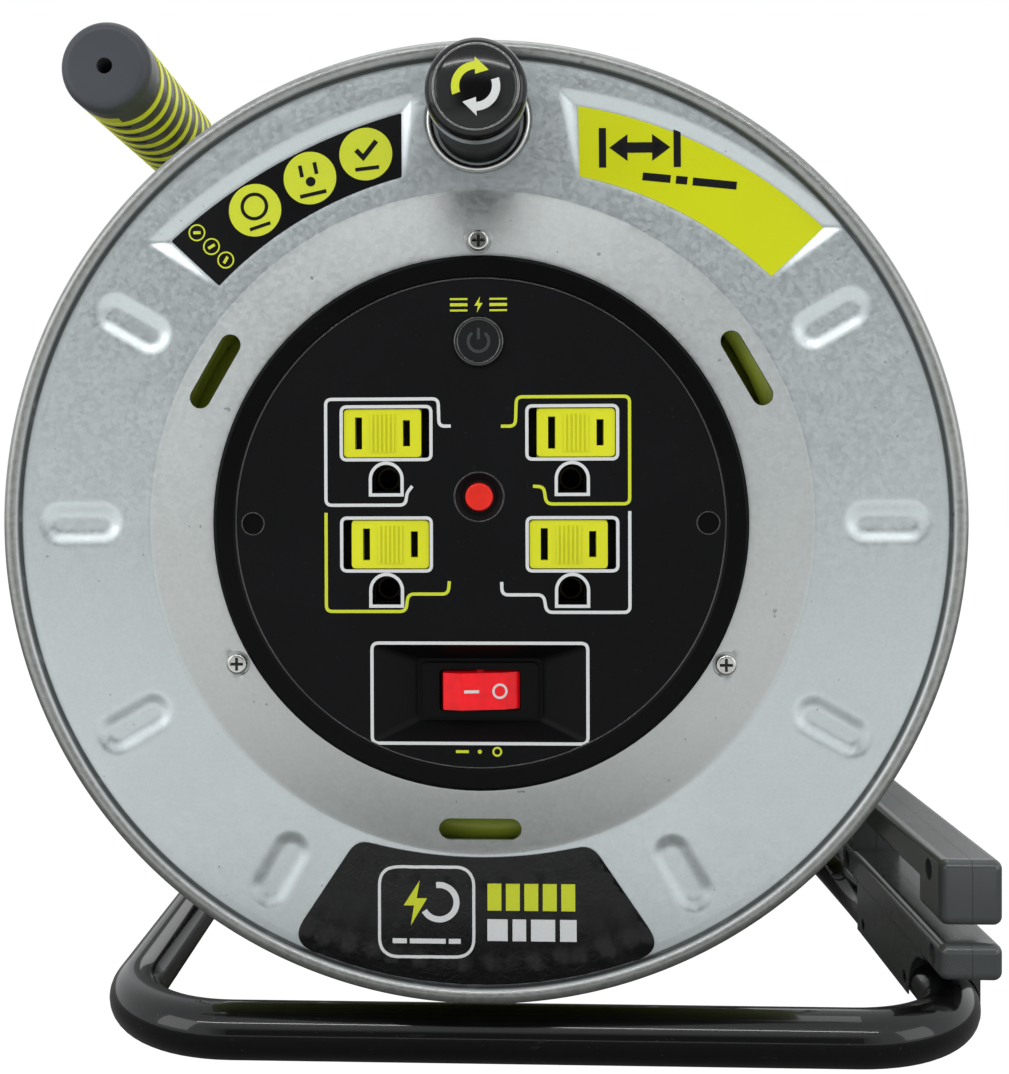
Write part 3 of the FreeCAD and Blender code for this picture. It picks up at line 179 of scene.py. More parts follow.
@dataclass(frozen=True, eq=False)
class Port:
    """One output in a shader graph. Arithmetic on it adds the nodes it needs."""

    graph: "Graph"
    socket: bpy.types.NodeSocket

    def _join(self, operation: str, first: "Operand", second: "Operand") -> "Port":
        """Add one math node over two operands.

        Args:
            operation: Name of the math operation.
            first: Left operand.
            second: Right operand.

        Returns:
            The node's result.
        """
        operands = (first, second)
        vectors = any(isinstance(o, Port) and o.socket.type == "VECTOR" for o in operands)
        kind = NodeKind.VECTOR_MATH if vectors else NodeKind.MATH
        return self.graph.add(kind, {"operation": operation}, {0: first, 1: second})

    def __add__(self, other: "Operand") -> "Port":
        """Add, to the right."""
        return self._join("ADD", self, other)

    def __radd__(self, other: "Operand") -> "Port":
        """Add, to the left."""
        return self._join("ADD", other, self)

    def __sub__(self, other: "Operand") -> "Port":
        """Take away, to the right."""
        return self._join("SUBTRACT", self, other)

    def __rsub__(self, other: "Operand") -> "Port":
        """Take away, to the left."""
        return self._join("SUBTRACT", other, self)

    def __mul__(self, other: "Operand") -> "Port":
        """Multiply, to the right."""
        return self._join("MULTIPLY", self, other)

    def __rmul__(self, other: "Operand") -> "Port":
        """Multiply, to the left."""
        return self._join("MULTIPLY", other, self)

    def function(self, operation: str) -> "Port":
        """Apply a math function of one value."""
        return self.graph.add(NodeKind.MATH, {"operation": operation}, {0: self})

    def between(self, low: float, high: float, to_low: float = 0.0, to_high: float = 1.0) -> "Port":
        """Ease from one level to another as this value crosses a band."""
        sockets = {"Value": self, "From Min": low, "From Max": high, "To Min": to_low, "To Max": to_high}
        return self.graph.add(NodeKind.MAP_RANGE, {"interpolation_type": "SMOOTHSTEP"}, sockets)

    def ramp(self, low: float, high: float) -> "Port":
        """Rise straight from 0 to 1 as this value crosses a band."""
        sockets = {"Value": self, "From Min": low, "From Max": high}
        return self.graph.add(NodeKind.MAP_RANGE, {"clamp": True}, sockets)

    def parts(self) -> tuple["Port", "Port", "Port"]:
        """Split a vector."""
        node = self.graph.node(NodeKind.SEPARATE, {}, {0: self})
        return tuple(Port(self.graph, node.outputs[i]) for i in range(3))


Operand = Union[Port, float, Sequence[float]]


class Graph:
    """A node tree under construction."""

    def __init__(self, tree: bpy.types.NodeTree) -> None:
        """Empty a node tree and take it over."""
        self.tree = tree
        self.tree.nodes.clear()

    def node(self, kind: NodeKind, settings: Mapping[str, object],
             sockets: Mapping[object, Operand]) -> bpy.types.Node:
        """Add a node.

        Args:
            kind: Which node.
            settings: Its properties.
            sockets: Its inputs by name or place, each a port or a constant.

        Returns:
            The node.
        """
        made = self.tree.nodes.new(kind.value)
        for key, value in settings.items():
            setattr(made, key, value)
        for key, value in sockets.items():
            self.feed(made.inputs[key], value)
        return made

    def add(self, kind: NodeKind, settings: Mapping[str, object], sockets: Mapping[object, Operand],
            output: object = 0) -> Port:
        """Add a node and take one of its outputs."""
        return Port(self, self.node(kind, settings, sockets).outputs[output])

    def feed(self, socket: bpy.types.NodeSocket, value: Operand) -> None:
        """Link a port to an input, or set a constant on it.

        Args:
            socket: The input.
            value: What goes into it.
        """
        if isinstance(value, Port):
            self.tree.links.new(value.socket, socket)
        elif socket.type == "RGBA":
            socket.default_value = (*value, 1.0)
        elif socket.type == "VECTOR" and isinstance(value, (int, float)):
            socket.default_value = (value, value, value)
        else:
            socket.default_value = value

    def position(self) -> Port:
        """Give the place on the object, in metres of the shared frame."""
        return self.add(NodeKind.COORDINATES, {}, {}, "Object")

    def vector(self, x: Operand, y: Operand, z: Operand) -> Port:
        """Join three values."""
        return self.add(NodeKind.COMBINE, {}, {0: x, 1: y, 2: z})

    def noise(self, at: Port, grain: float, detail: float = 3.0, warp: float = 0.0) -> Port:
        """Sample soft noise."""
        return self.add(NodeKind.NOISE, {}, {"Vector": at, "Scale": 1000.0 / grain, "Detail": detail,
                                             "Roughness": 0.55, "Distortion": warp})

    def crystals(self, at: Port, grain: float) -> Port:
        """Give each cell of a broken pattern its own value."""
        colour = self.add(NodeKind.CELLS, {"feature": "F1"}, {"Vector": at, "Scale": 1000.0 / grain}, "Color")
        return self.add(NodeKind.SEPARATE, {}, {0: colour})

    def blend(self, factor: Operand, first: Operand, second: Operand) -> Port:
        """Mix two colours."""
        return self.add(NodeKind.MIX, {"data_type": "RGBA"}, {0: factor, 6: first, 7: second}, 2)

    def layered(self, tone: Operand, *coats: tuple[Operand, Operand]) -> Port:
        """Lay colours over a first one.

        Args:
            tone: The first colour.
            coats: Share and colour of each one above it, in order.

        Returns:
            The mixed colour.
        """
        for share, colour in coats:
            tone = self.blend(share, tone, colour)
        return tone

    def about(self, at: Port, axis: Point2) -> tuple[Port, Port, Port]:
        """Measure from the drum's axis.

        Args:
            at: The place on the object.
            axis: The axis's x and z in metres.

        Returns:
            Metres to its right, metres above it, and the radius in millimetres.
        """
        x, _, z = at.parts()
        across, upward = x - axis[0], z - axis[1]
        return across, upward, (across * across + upward * upward).function("SQRT") * 1000.0

    def bump(self, height: Port, depth: float, strength: float = 1.0, under: Optional[Port] = None) -> Port:
        """Turn a height into a normal.

        Args:
            height: Value whose swing from 0 to 1 is the relief.
            depth: What that swing stands for, in millimetres.
            strength: Share of the relief that is kept.
            under: A coarser normal that this one lies on.

        Returns:
            The normal.
        """
        sockets: dict[object, Operand] = {"Height": height, "Distance": depth * MM, "Strength": strength}
        if under is not None:
            sockets["Normal"] = under
        return self.add(NodeKind.BUMP, {}, sockets)

    def surface(self, sockets: Mapping[object, Operand]) -> None:
        """Close a material with a principled surface."""
        shader = self.add(NodeKind.PRINCIPLED, {}, sockets)
        self.node(NodeKind.SURFACE_OUTPUT, {}, {"Surface": shader})


@dataclass(frozen=True)
class Finish(ABC):
    """A named surface finish."""

    name: str

    def material(self) -> bpy.types.Material:
        """Build the finish once.

        Returns:
            Its material.
        """
        title = f"finish_{self.name}"
        made = bpy.data.materials.get(title)
        if made is None:
            made = bpy.data.materials.new(title)
            made.use_nodes = True
            self.shade(Graph(made.node_tree))
        return made

    @abstractmethod
    def shade(self, graph: Graph) -> None:
        """Fill the material's graph."""


@dataclass(frozen=True)
class MouldedPlastic(Finish):
    """Injection-moulded plastic with a fine eroded texture and handled patches."""

    colour: Colour
    roughness: float = 0.5
    grain: float = 0.45
    relief: float = 0.02
    swing: float = 0.12
    dust: float = 0.04
    coat: float = 0.0
    gloss: float = 0.4

    def shade(self, graph: Graph) -> None:
        """Fill the material's graph.

        Args:
            graph: The graph to fill.
        """
        at = graph.position()
        texture = graph.noise(at, self.grain, 2.0)
        patches = graph.noise(at, 38.0, 3.0, 0.6)
        streaks = graph.noise(at * (1.0, 1.0, 0.12), 7.0, 2.0)
        specks = graph.noise(at, 1.3, 1.0).between(0.72, 0.8)
        tone = graph.layered(
            self.colour,
            (patches.between(0.35, 0.7), scaled(self.colour, 1 + self.swing * 2)),
            (specks * self.dust, (0.45, 0.44, 0.42)))
        rough = self.roughness + (patches - 0.5) * 0.16 + (texture - 0.5) * 0.1 + (streaks - 0.5) * 0.06
        normal = graph.bump(texture, self.relief)
        graph.surface({
            "Base Color": tone,
            "Roughness": rough,
            "Normal": graph.bump(patches, 0.05, 0.5, normal),
            "Coat Weight": self.coat,
            "Coat Roughness": 0.08,
            "Specular IOR Level": self.gloss,
        })


@dataclass(frozen=True)
class GalvanisedSheet(Finish):
    """Zinc-coated sheet steel: fine spangle, cloudy gloss, a warmer grey rim darkened as painted shade."""

    axis: Point2
    web: Colour = (0.66, 0.715, 0.73)
    ring: Colour = (0.50, 0.52, 0.515)
    # The rim's warmer grey is its own tone; its darkness is painted shade that holds down the rolled rim's
    # highlight
    rim: Colour = (0.30, 0.305, 0.29)
    crevice_shade_colour: Colour = (0.012, 0.012, 0.011)
    ring_radius: float = 71.5
    crease_radius: float = 88.4
    web_radius: float = 121.0
    ring_fall: float = 1.3
    web_rise: float = 0.9
    rim_radius: float = 123.9
    # Painted shade: a dark line in the crevice where the rolled rim meets the web
    crevice_radius: float = 123.55
    crevice_width: float = 0.8

    def shade(self, graph: Graph) -> None:
        """Fill the material's graph.

        Args:
            graph: The graph to fill.
        """
        at = graph.position()
        across, upward, radius = graph.about(at, self.axis)
        angle = graph.add(NodeKind.MATH, {"operation": "ARCTAN2"}, {0: upward, 1: across})
        spangle = graph.crystals(at, 1.1)
        flakes = graph.crystals(at, 0.55)
        clouds = graph.noise(at, 46.0, 4.0, 0.8)
        mottle = graph.noise(at, 6.0, 3.0)
        drawn = graph.noise(graph.vector(radius * 0.004, angle * 0.002, 0.0), 3.0, 2.0)
        scratch = graph.noise(at * (0.16, 1.0, 1.0) + (0.3, 0.1, 0.7), 1.6, 2.0).between(0.73, 0.76)
        pits = graph.noise(at, 2.4, 1.0).between(0.755, 0.79)
        rim_share = radius.between(self.rim_radius - 0.6, self.rim_radius + 0.8)
        # Painted shade in the rim's crevice, uneven along it; it also takes some metal shine off there
        crevice_painted_shade = (radius - self.crevice_radius).function("ABSOLUTE").between(0.0, self.crevice_width, 1.0, 0.0)
        tone = graph.layered(
            self.ring,
            (radius.between(self.crease_radius - 1.2, self.crease_radius + 1.2), self.web),
            (rim_share, self.rim),
            (clouds.between(0.3, 0.75) * 0.12, (0.50, 0.52, 0.52)),
            (spangle * 0.13, (0.80, 0.83, 0.83)),
            (flakes * 0.12, (0.36, 0.37, 0.38)),
            (pits * 0.55, (0.16, 0.15, 0.14)),
            (crevice_painted_shade * mottle.between(0.0, 0.45, 0.6, 1.0) * 0.95, self.crevice_shade_colour))
        rough = 0.34 + (spangle - 0.5) * 0.08 + (clouds - 0.5) * 0.1
        rough = rough + (mottle - 0.5) * 0.06 + (drawn - 0.5) * 0.06
        height = spangle * 0.16 + mottle * 0.16 + drawn * 0.35 - scratch * 0.4 - pits * 0.6
        dish = radius.ramp(self.crease_radius, self.web_radius) * self.web_rise
        dish = dish - radius.ramp(self.ring_radius, self.crease_radius) * self.ring_fall
        graph.surface({
            "Base Color": tone,
            "Roughness": rough + rim_share * 0.02,
            "Metallic": 0.82 - crevice_painted_shade * 0.4,
            "Normal": graph.bump(height, 0.018, 1.0, graph.bump(dish, 1.0)),
        })


@dataclass(frozen=True)
class PowderCoat(Finish):
    """Glossy black powder coat with orange peel, dust and small scuffs."""

    colour: Colour = (0.0026, 0.0026, 0.0028)

    def shade(self, graph: Graph) -> None:
        """Fill the material's graph.

        Args:
            graph: The graph to fill.
        """
        at = graph.position()
        height = at.parts()[2] * 1000.0
        peel = graph.noise(at, 2.6, 2.0)
        patches = graph.noise(at, 30.0, 3.0)
        scuff = graph.noise(at * (0.25, 1.0, 1.0), 2.2, 3.0).between(0.66, 0.72)
        worn = scuff * height.between(0.5, 4.0, 1.0, 0.12)
        dust = graph.noise(at, 0.9, 1.0).between(0.74, 0.8)
        tone = graph.layered(
            self.colour,
            (patches * 0.5, scaled(self.colour, 2.2)),
            (worn * 0.5, (0.16, 0.155, 0.15)),
            (dust * 0.10, (0.4, 0.39, 0.37)))
        graph.surface({
            "Base Color": tone,
            "Roughness": 0.18 + patches * 0.1 + worn * 0.4,
            "Specular IOR Level": 0.15,
            "Coat Weight": 0.9 - worn * 0.7,
            "Coat IOR": 1.45,
            "Coat Roughness": 0.03,
            "Normal": graph.bump(peel + worn * 0.4, 0.012),
        })


@dataclass(frozen=True)
class BareMetal(Finish):
    """Plated or plain metal with fine turning lines and stains."""

    colour: Colour
    roughness: float = 0.24
    lines: float = 0.5
    stain: Colour = (0.22, 0.20, 0.17)

    def shade(self, graph: Graph) -> None:
        """Fill the material's graph.

        Args:
            graph: The graph to fill.
        """
        at = graph.position()
        lathed = graph.noise(at * (1.0, 6.0, 1.0), self.lines, 2.0)
        patches = graph.noise(at, 5.0, 3.0)
        marks = graph.noise(at, 1.1, 2.0).between(0.68, 0.76)
        tone = graph.layered(
            self.colour,
            (patches.between(0.45, 0.8) * 0.4, self.stain),
            (marks * 0.4, scaled(self.colour, 0.4)))
        graph.surface({
            "Base Color": tone,
            "Roughness": self.roughness + (patches - 0.5) * 0.2 + marks * 0.2,
            "Metallic": 1.0 - marks * 0.3,
            "Normal": graph.bump(lathed, 0.012),
        })


@dataclass(frozen=True)
class CableJacket(Finish):
    """Extruded lime jacket, satin, with rub marks, dust specks and painted shade on the turns below the outer
    crown.
    """

    axis: Point2
    colour: Colour = (0.44, 0.53, 0.035)
    outer: float = 111.8
    diameter: float = 9.0

    def shade(self, graph: Graph) -> None:
        """Fill the material's graph.

        Args:
            graph: The graph to fill.
        """
        at = graph.position()
        _, _, radius = graph.about(at, self.axis)
        crown_clear_of_painted_shade = radius.between(self.outer - self.diameter * 0.8, self.outer - self.diameter * 0.15)
        skin = graph.noise(at, 1.0, 2.0)
        rub = graph.noise(at * (1.0, 0.35, 1.0), 5.0, 3.0)
        specks = graph.noise(at, 1.6, 1.0).between(0.7, 0.78)
        tone = graph.layered(
            self.colour,
            (rub.between(0.35, 0.75) * 0.4, scaled(self.colour, 0.72)),
            # Painted shade: turns that lie below the outer layer's crown are darkened
            ((1.0 - crown_clear_of_painted_shade) * 0.45, (0.12, 0.14, 0.02)),
            (specks * 0.22, (0.09, 0.09, 0.06)))
        graph.surface({
            "Base Color": tone,
            "Roughness": 0.42 + (rub - 0.5) * 0.22,
            "Normal": graph.bump(skin + rub * 0.5, 0.03),
            "Specular IOR Level": 0.5,
        })


@dataclass(frozen=True)
class TintedPlastic(Finish):
    """Clear or see-through coloured plastic, glossy, with light scratches."""

    colour: Colour
    roughness: float = 0.18
    depth: float = 0.25
    # glow: painted light, an emission that makes the part glow though it is no lamp
    glow: float = 0.0

    def shade(self, graph: Graph) -> None:
        """Fill the material's graph.

        Args:
            graph: The graph to fill.
        """
        at = graph.position()
        haze = graph.noise(at, 4.0, 3.0)
        fine = graph.noise(at, 0.7, 2.0)
        scratch = graph.noise(at * (1.0, 1.0, 0.15), 0.8, 2.0).between(0.7, 0.76)
        tone = graph.blend(haze.between(0.3, 0.8), self.colour, scaled(self.colour, 0.82))
        graph.surface({
            "Base Color": tone,
            "Roughness": self.roughness + haze * 0.08 + scratch * 0.2,
            "Normal": graph.bump(fine - scratch * 0.5, 0.008),
            "Subsurface Weight": self.depth,
            "Subsurface Radius": (0.6, 0.2, 0.15),
            "Subsurface Scale": 0.002,
            "Specular IOR Level": 0.25,
            "Coat Weight": 0.3,
            "Coat IOR": 1.4,
            "Coat Roughness": 0.08,
            "Emission Color": tone,
            "Emission Strength": self.glow,
        })


@dataclass(frozen=True)
class PrintedInk(Finish):
    """Screen-printed ink: slightly uneven cover, pinholes and patchy gloss."""

    colour: Colour

    def shade(self, graph: Graph) -> None:
        """Fill the material's graph.

        Args:
            graph: The graph to fill.
        """
        at = graph.position()
        cover = graph.noise(at, 0.5, 2.0)
        patches = graph.noise(at, 9.0, 2.0)
        pin = graph.noise(at, 0.35, 1.0).between(0.76, 0.82)
        tone = graph.layered(
            self.colour,
            (cover.between(0.3, 0.8) * 0.25, scaled(self.colour, 0.8)),
            (pin * 0.5, (0.05, 0.05, 0.05)))
        graph.surface({
            "Base Color": tone,
            "Roughness": 0.42 + (patches - 0.5) * 0.2,
            "Specular IOR Level": 0.15,
            "Normal": graph.bump(cover, 0.008),
        })


@dataclass(frozen=True)
class LabelFilm(Finish):
    """Glossy adhesive film with soft creases and trapped air."""

    colour: Colour
    crease: float = 0.25
    bubbles: float = 0.1

    def shade(self, graph: Graph) -> None:
        """Fill the material's graph.

        Args:
            graph: The graph to fill.
        """
        at = graph.position()
        folds = graph.noise(at, 11.0, 3.0, 1.4)
        loose = graph.noise(at, 15.0, 1.0).between(0.34, 0.56)
        ripple = graph.noise(at, 3.0, 2.0, 1.6) * loose
        air = graph.noise(at, 2.0, 1.0).between(0.62, 0.74)
        patches = graph.noise(at, 25.0, 2.0)
        paler = tuple(min(1.0, c * 1.15 + 0.002) for c in self.colour)
        normal = graph.bump(ripple, self.crease * 2.4, 1.0, graph.bump(folds, self.crease))
        graph.surface({
            "Base Color": graph.blend(patches * 0.5, self.colour, paler),
            "Roughness": 0.2 + (patches - 0.5) * 0.06,
            "Specular IOR Level": 0.06,
            "Coat Weight": 0.75,
            "Coat IOR": 1.38,
            "Coat Roughness": 0.03,
            "Normal": graph.bump(air, self.bubbles, 0.8, normal),
        })


@dataclass(frozen=True)
class Palette:
    """Every finish of the reel."""

    axis: Point2
    tube: Finish = PowderCoat("black_powder_coat")
    steel: Finish = BareMetal("plated_steel", (0.62, 0.62, 0.60))
    brass: Finish = BareMetal("contact_brass", (0.72, 0.50, 0.20), 0.28)
    # Painted shade: brass darkened nearly to black to stand for the shade inside the ground holes
    brass_in_painted_shade: Finish = BareMetal(
        "brass_in_painted_shade", (0.05, 0.04, 0.022), roughness=0.55, stain=(0.02, 0.018, 0.014))
    # Black steel for the guide screws; the same finish paints shade into the flange screws' cross recesses
    black_steel_and_painted_shade: Finish = BareMetal(
        "black_steel_and_painted_shade", (0.035, 0.035, 0.036), roughness=0.4, stain=(0.02, 0.02, 0.02))
    edge_metal: Finish = BareMetal(
        "dome_edge", (0.26, 0.26, 0.255), roughness=0.2, stain=(0.16, 0.155, 0.15))
    trim: Finish = MouldedPlastic(
        "trim_black", (0.003, 0.003, 0.0032), roughness=0.12, grain=0.4, relief=0.002, swing=0.1, dust=0.01,
        coat=0.6, gloss=0.6)
    # Painted light: a brighter copy of the lime moulding that makes the grip rings look lit
    ring_lime_painted_light: Finish = MouldedPlastic(
        "grip_lime_painted_light", (0.86, 0.87, 0.026), roughness=0.34, grain=0.5, relief=0.006, swing=0.04, dust=0.02,
        gloss=0.25)
    panel: Finish = MouldedPlastic(
        "panel_black", (0.0036, 0.0037, 0.0043), grain=0.4, relief=0.03, dust=0.012, gloss=0.1)
    bezel: Finish = MouldedPlastic(
        "bezel_black", (0.0022, 0.0022, 0.0023), roughness=0.34, grain=0.3, relief=0.008, dust=0.01,
        gloss=0.08)
    insulator: Finish = MouldedPlastic(
        "insulator_black", (0.003, 0.003, 0.0032), roughness=0.55, dust=0.01, gloss=0.08)
    switch: Finish = MouldedPlastic(
        "switch_black", (0.0024, 0.0024, 0.0027), roughness=0.38, grain=0.3, relief=0.008, dust=0.01,
        gloss=0.1)
    nylon: Finish = MouldedPlastic("bearing_nylon", (0.72, 0.71, 0.66), 0.45)
    lime: Finish = MouldedPlastic(
        "lime_moulding", (0.70, 0.71, 0.022), roughness=0.36, grain=0.5, relief=0.006, swing=0.04,
        dust=0.02, gloss=0.25)
    grip: Finish = MouldedPlastic(
        "grip_grey", (0.045, 0.048, 0.055), roughness=0.32, grain=0.5, relief=0.008, swing=0.06, dust=0.02,
        gloss=0.3)
    cap: Finish = MouldedPlastic(
        "cap_grey", (0.058, 0.062, 0.072), roughness=0.4, grain=0.5, relief=0.01, swing=0.05, dust=0.02,
        gloss=0.3)
    guide: Finish = MouldedPlastic(
        "guide_grey", (0.070, 0.075, 0.078), roughness=0.24, grain=0.5, relief=0.005, swing=0.06, dust=0.02,
        coat=0.35)
    knob: Finish = MouldedPlastic(
        "knob_sleeve", (0.0018, 0.0018, 0.0019), roughness=0.42, grain=0.4, relief=0.006, dust=0.01,
        gloss=0.03)
    knob_cap: Finish = MouldedPlastic(
        "knob_cap", (0.003, 0.003, 0.0034), roughness=0.14, grain=0.6, relief=0.002, swing=0.05, dust=0.01,
        coat=0.25, gloss=0.3)
    cord: Finish = MouldedPlastic(
        "plug_black", (0.008, 0.008, 0.0085), roughness=0.46, grain=0.6, gloss=0.25)
    # The rocker and the reset button glow with painted light, though neither is a lamp
    rocker: Finish = TintedPlastic(
        "rocker_red", (0.96, 0.002, 0.010), roughness=0.26, depth=0.15, glow=0.06)
    reset: Finish = TintedPlastic("reset_red", (0.84, 0.024, 0.012), roughness=0.34, depth=0.15, glow=0.04)
    lens: Finish = TintedPlastic("lens_smoke", (0.013, 0.0145, 0.016), roughness=0.2, depth=0.0)
    lens_ink: Finish = PrintedInk("lens_ink", (0.05, 0.053, 0.056))
    white_ink: Finish = PrintedInk("white_ink", (0.70, 0.71, 0.71))
    lime_ink: Finish = PrintedInk("lime_ink", (0.62, 0.68, 0.04))
    black_ink: Finish = PrintedInk("black_ink", (0.005, 0.005, 0.0055))
    black_film: Finish = LabelFilm("black_film", (0.0035, 0.0035, 0.004), crease=0.55, bubbles=0.2)
    flat_black_film: Finish = LabelFilm(
        "flat_black_film", (0.0045, 0.0045, 0.005), crease=0.05, bubbles=0.02)
    lime_film: Finish = LabelFilm("lime_film", (0.60, 0.64, 0.012), crease=0.03, bubbles=0.02)

    @property
    def sheet(self) -> Finish:
        """Give the galvanised sheet."""
        return GalvanisedSheet("galvanised_sheet", self.axis)

    @property
    def jacket(self) -> Finish:
        """Give the cable's jacket."""
        return CableJacket("cable_jacket", self.axis)


# Meshes


def placed(name: str, data: bpy.types.ID) -> bpy.types.Object:
    """Put an object in the scene.

    Args:
        name: Its name.
        data: Its mesh, curve, camera or lamp.

    Returns:
        The object.
    """
    made = bpy.data.objects.new(name, data)
    bpy.context.scene.collection.objects.link(made)
    return made


def circle_points(centre: Point2, radius: float, count: int = 48, first: float = 0.0,
                  last: float = 360.0) -> list[Point2]:
    """Sample a circle or an arc.

    Args:
        centre: Its middle.
        radius: Its radius.
        count: Number of steps.
        first: Angle of the first point in degrees.
        last: Angle of the end, left out when the circle is whole.

    Returns:
        The points.
    """
    whole = abs(last - first) >= 360.0
    steps = count if whole else count + 1
    angles = [math.radians(first + (last - first) * i / count) for i in range(steps)]
    return [(centre[0] + radius * math.cos(a), centre[1] + radius * math.sin(a)) for a in angles]


def bend(before: Point2, tip: Point2, after: Point2, reach: float, steps: int) -> list[Point2]:
    """Round one corner of a line.

    Args:
        before: The point before it.
        tip: The corner.
        after: The point after it.
        reach: How far along both sides the rounding goes.
        steps: Number of steps.

    Returns:
        The points of the rounding.
    """
    here = Vector(tip)
    start = here + (Vector(before) - here).normalized() * reach
    end = here + (Vector(after) - here).normalized() * reach
    return [tuple(start * (1 - t) ** 2 + here * 2 * t * (1 - t) + end * t * t)
            for t in (k / steps for k in range(steps + 1))]


def rounded_path(points: Sequence[Point2], radius: float, closed: bool, steps: int = 6) -> list[Point2]:
    """Round the corners of a line.

    Args:
        points: Its corners.
        radius: Reach of the rounding at each corner, less where the runs are short.
        closed: Whether the last corner joins the first.
        steps: Steps of each corner.

    Returns:
        The rounded line.
    """
    if radius <= 0:
        return list(points)
    made: list[Point2] = []
    count = len(points)
    for i, tip in enumerate(points):
        if not closed and i in (0, count - 1):
            made.append(tip)
            continue
        before, after = points[i - 1], points[(i + 1) % count]
        runs = [(Vector(other) - Vector(tip)).length for other in (before, after)]
        made += bend(before, tip, after, min(radius, SHORT_RUN * min(runs)), steps)
    return made


def joined_arcs(near: Sequence[Point2], far: Sequence[Point2], reaches: Point2, clears: Point2,
                steps: int) -> list[Point2]:
    """Join two arcs into a closed outline with rounded corners.

    Args:
        near: The first arc.
        far: The second arc, which runs the other way.
        reaches: Reach of the rounding at the ends of each arc.
        clears: How far from its ends each arc's own points start.
        steps: Steps of each corner.

    Returns:
        The outline.
    """
    made: list[Point2] = []
    for line, other, reach, clear in ((near, far, reaches[0], clears[0]), (far, near, reaches[1], clears[1])):
        made += bend(other[-1], line[0], line[1], reach, steps)
        made += [q for q in line if min(math.dist(q, line[0]), math.dist(q, line[-1])) > clear]
        made += bend(line[-2], line[-1], other[0], reach, steps)
    return made


def rectangle(centre: Point2, width: float, height: float) -> list[Point2]:
    """Give the corners of an upright rectangle.

    Args:
        centre: Its middle.
        width: Its width.
        height: Its height.

    Returns:
        Its four corners, anticlockwise.
    """
    x, z = centre
    w, h = width / 2, height / 2
    return [(x - w, z - h), (x + w, z - h), (x + w, z + h), (x - w, z + h)]


def turned(points: Sequence[Point2], centre: Point2, degrees: float) -> list[Point2]:
    """Turn a drawing about the origin and move it."""
    c, s = math.cos(math.radians(degrees)), math.sin(math.radians(degrees))
    return [(centre[0] + x * c - z * s, centre[1] + x * s + z * c) for x, z in points]


def spaced(start: float, widths: Sequence[float], gap: float) -> list[Point2]:
    """Lay bars in a row and give each one's middle and width."""
    return [(start + sum(widths[:k]) + gap * k + width / 2, width) for k, width in enumerate(widths)]


def eased(value: float) -> float:
    """Ease a share, held within 0 and 1."""
    share = min(1.0, max(0.0, value))
    return share * share * (3.0 - 2.0 * share)


def add_skin(mesh: bmesh.types.BMesh, rings: Sequence[Sequence[bmesh.types.BMVert]], closed: bool) -> None:
    """Join rings of vertices by faces.

    Args:
        mesh: The mesh that has the vertices.
        rings: The rings in order.
        closed: Whether the last ring joins the first.
    """
    for i in range(len(rings) if closed else len(rings) - 1):
        a, b = rings[i], rings[(i + 1) % len(rings)]
        for k in range(len(a)):
            after = (k + 1) % len(a)
            mesh.faces.new((a[k], a[after], b[after], b[k]))


def add_shell(mesh: bmesh.types.BMesh, faces: Sequence[Sequence[int]],
              sides: Callable[[int], tuple[Vector, Vector]]) -> None:
    """Add a closed sheet: its front, its back and a wall along each open edge.

    Args:
        mesh: The mesh that it goes in.
        faces: Faces of its plan, by the numbers of their points.
        sides: Gives a point's places on the front and on the back.
    """
    verts = {i: [mesh.verts.new(spot) for spot in sides(i)] for i in {i for face in faces for i in face}}
    uses: dict[tuple[int, ...], int] = {}
    for face in faces:
        mesh.faces.new([verts[i][0] for i in face])
        mesh.faces.new([verts[i][1] for i in reversed(face)])
        for k, here in enumerate(face):
            pair = tuple(sorted((here, face[(k + 1) % len(face)])))
            uses[pair] = uses.get(pair, 0) + 1
    for (a, b), count in uses.items():
        if count == 1:
            mesh.faces.new((verts[a][0], verts[a][1], verts[b][1], verts[b][0]))


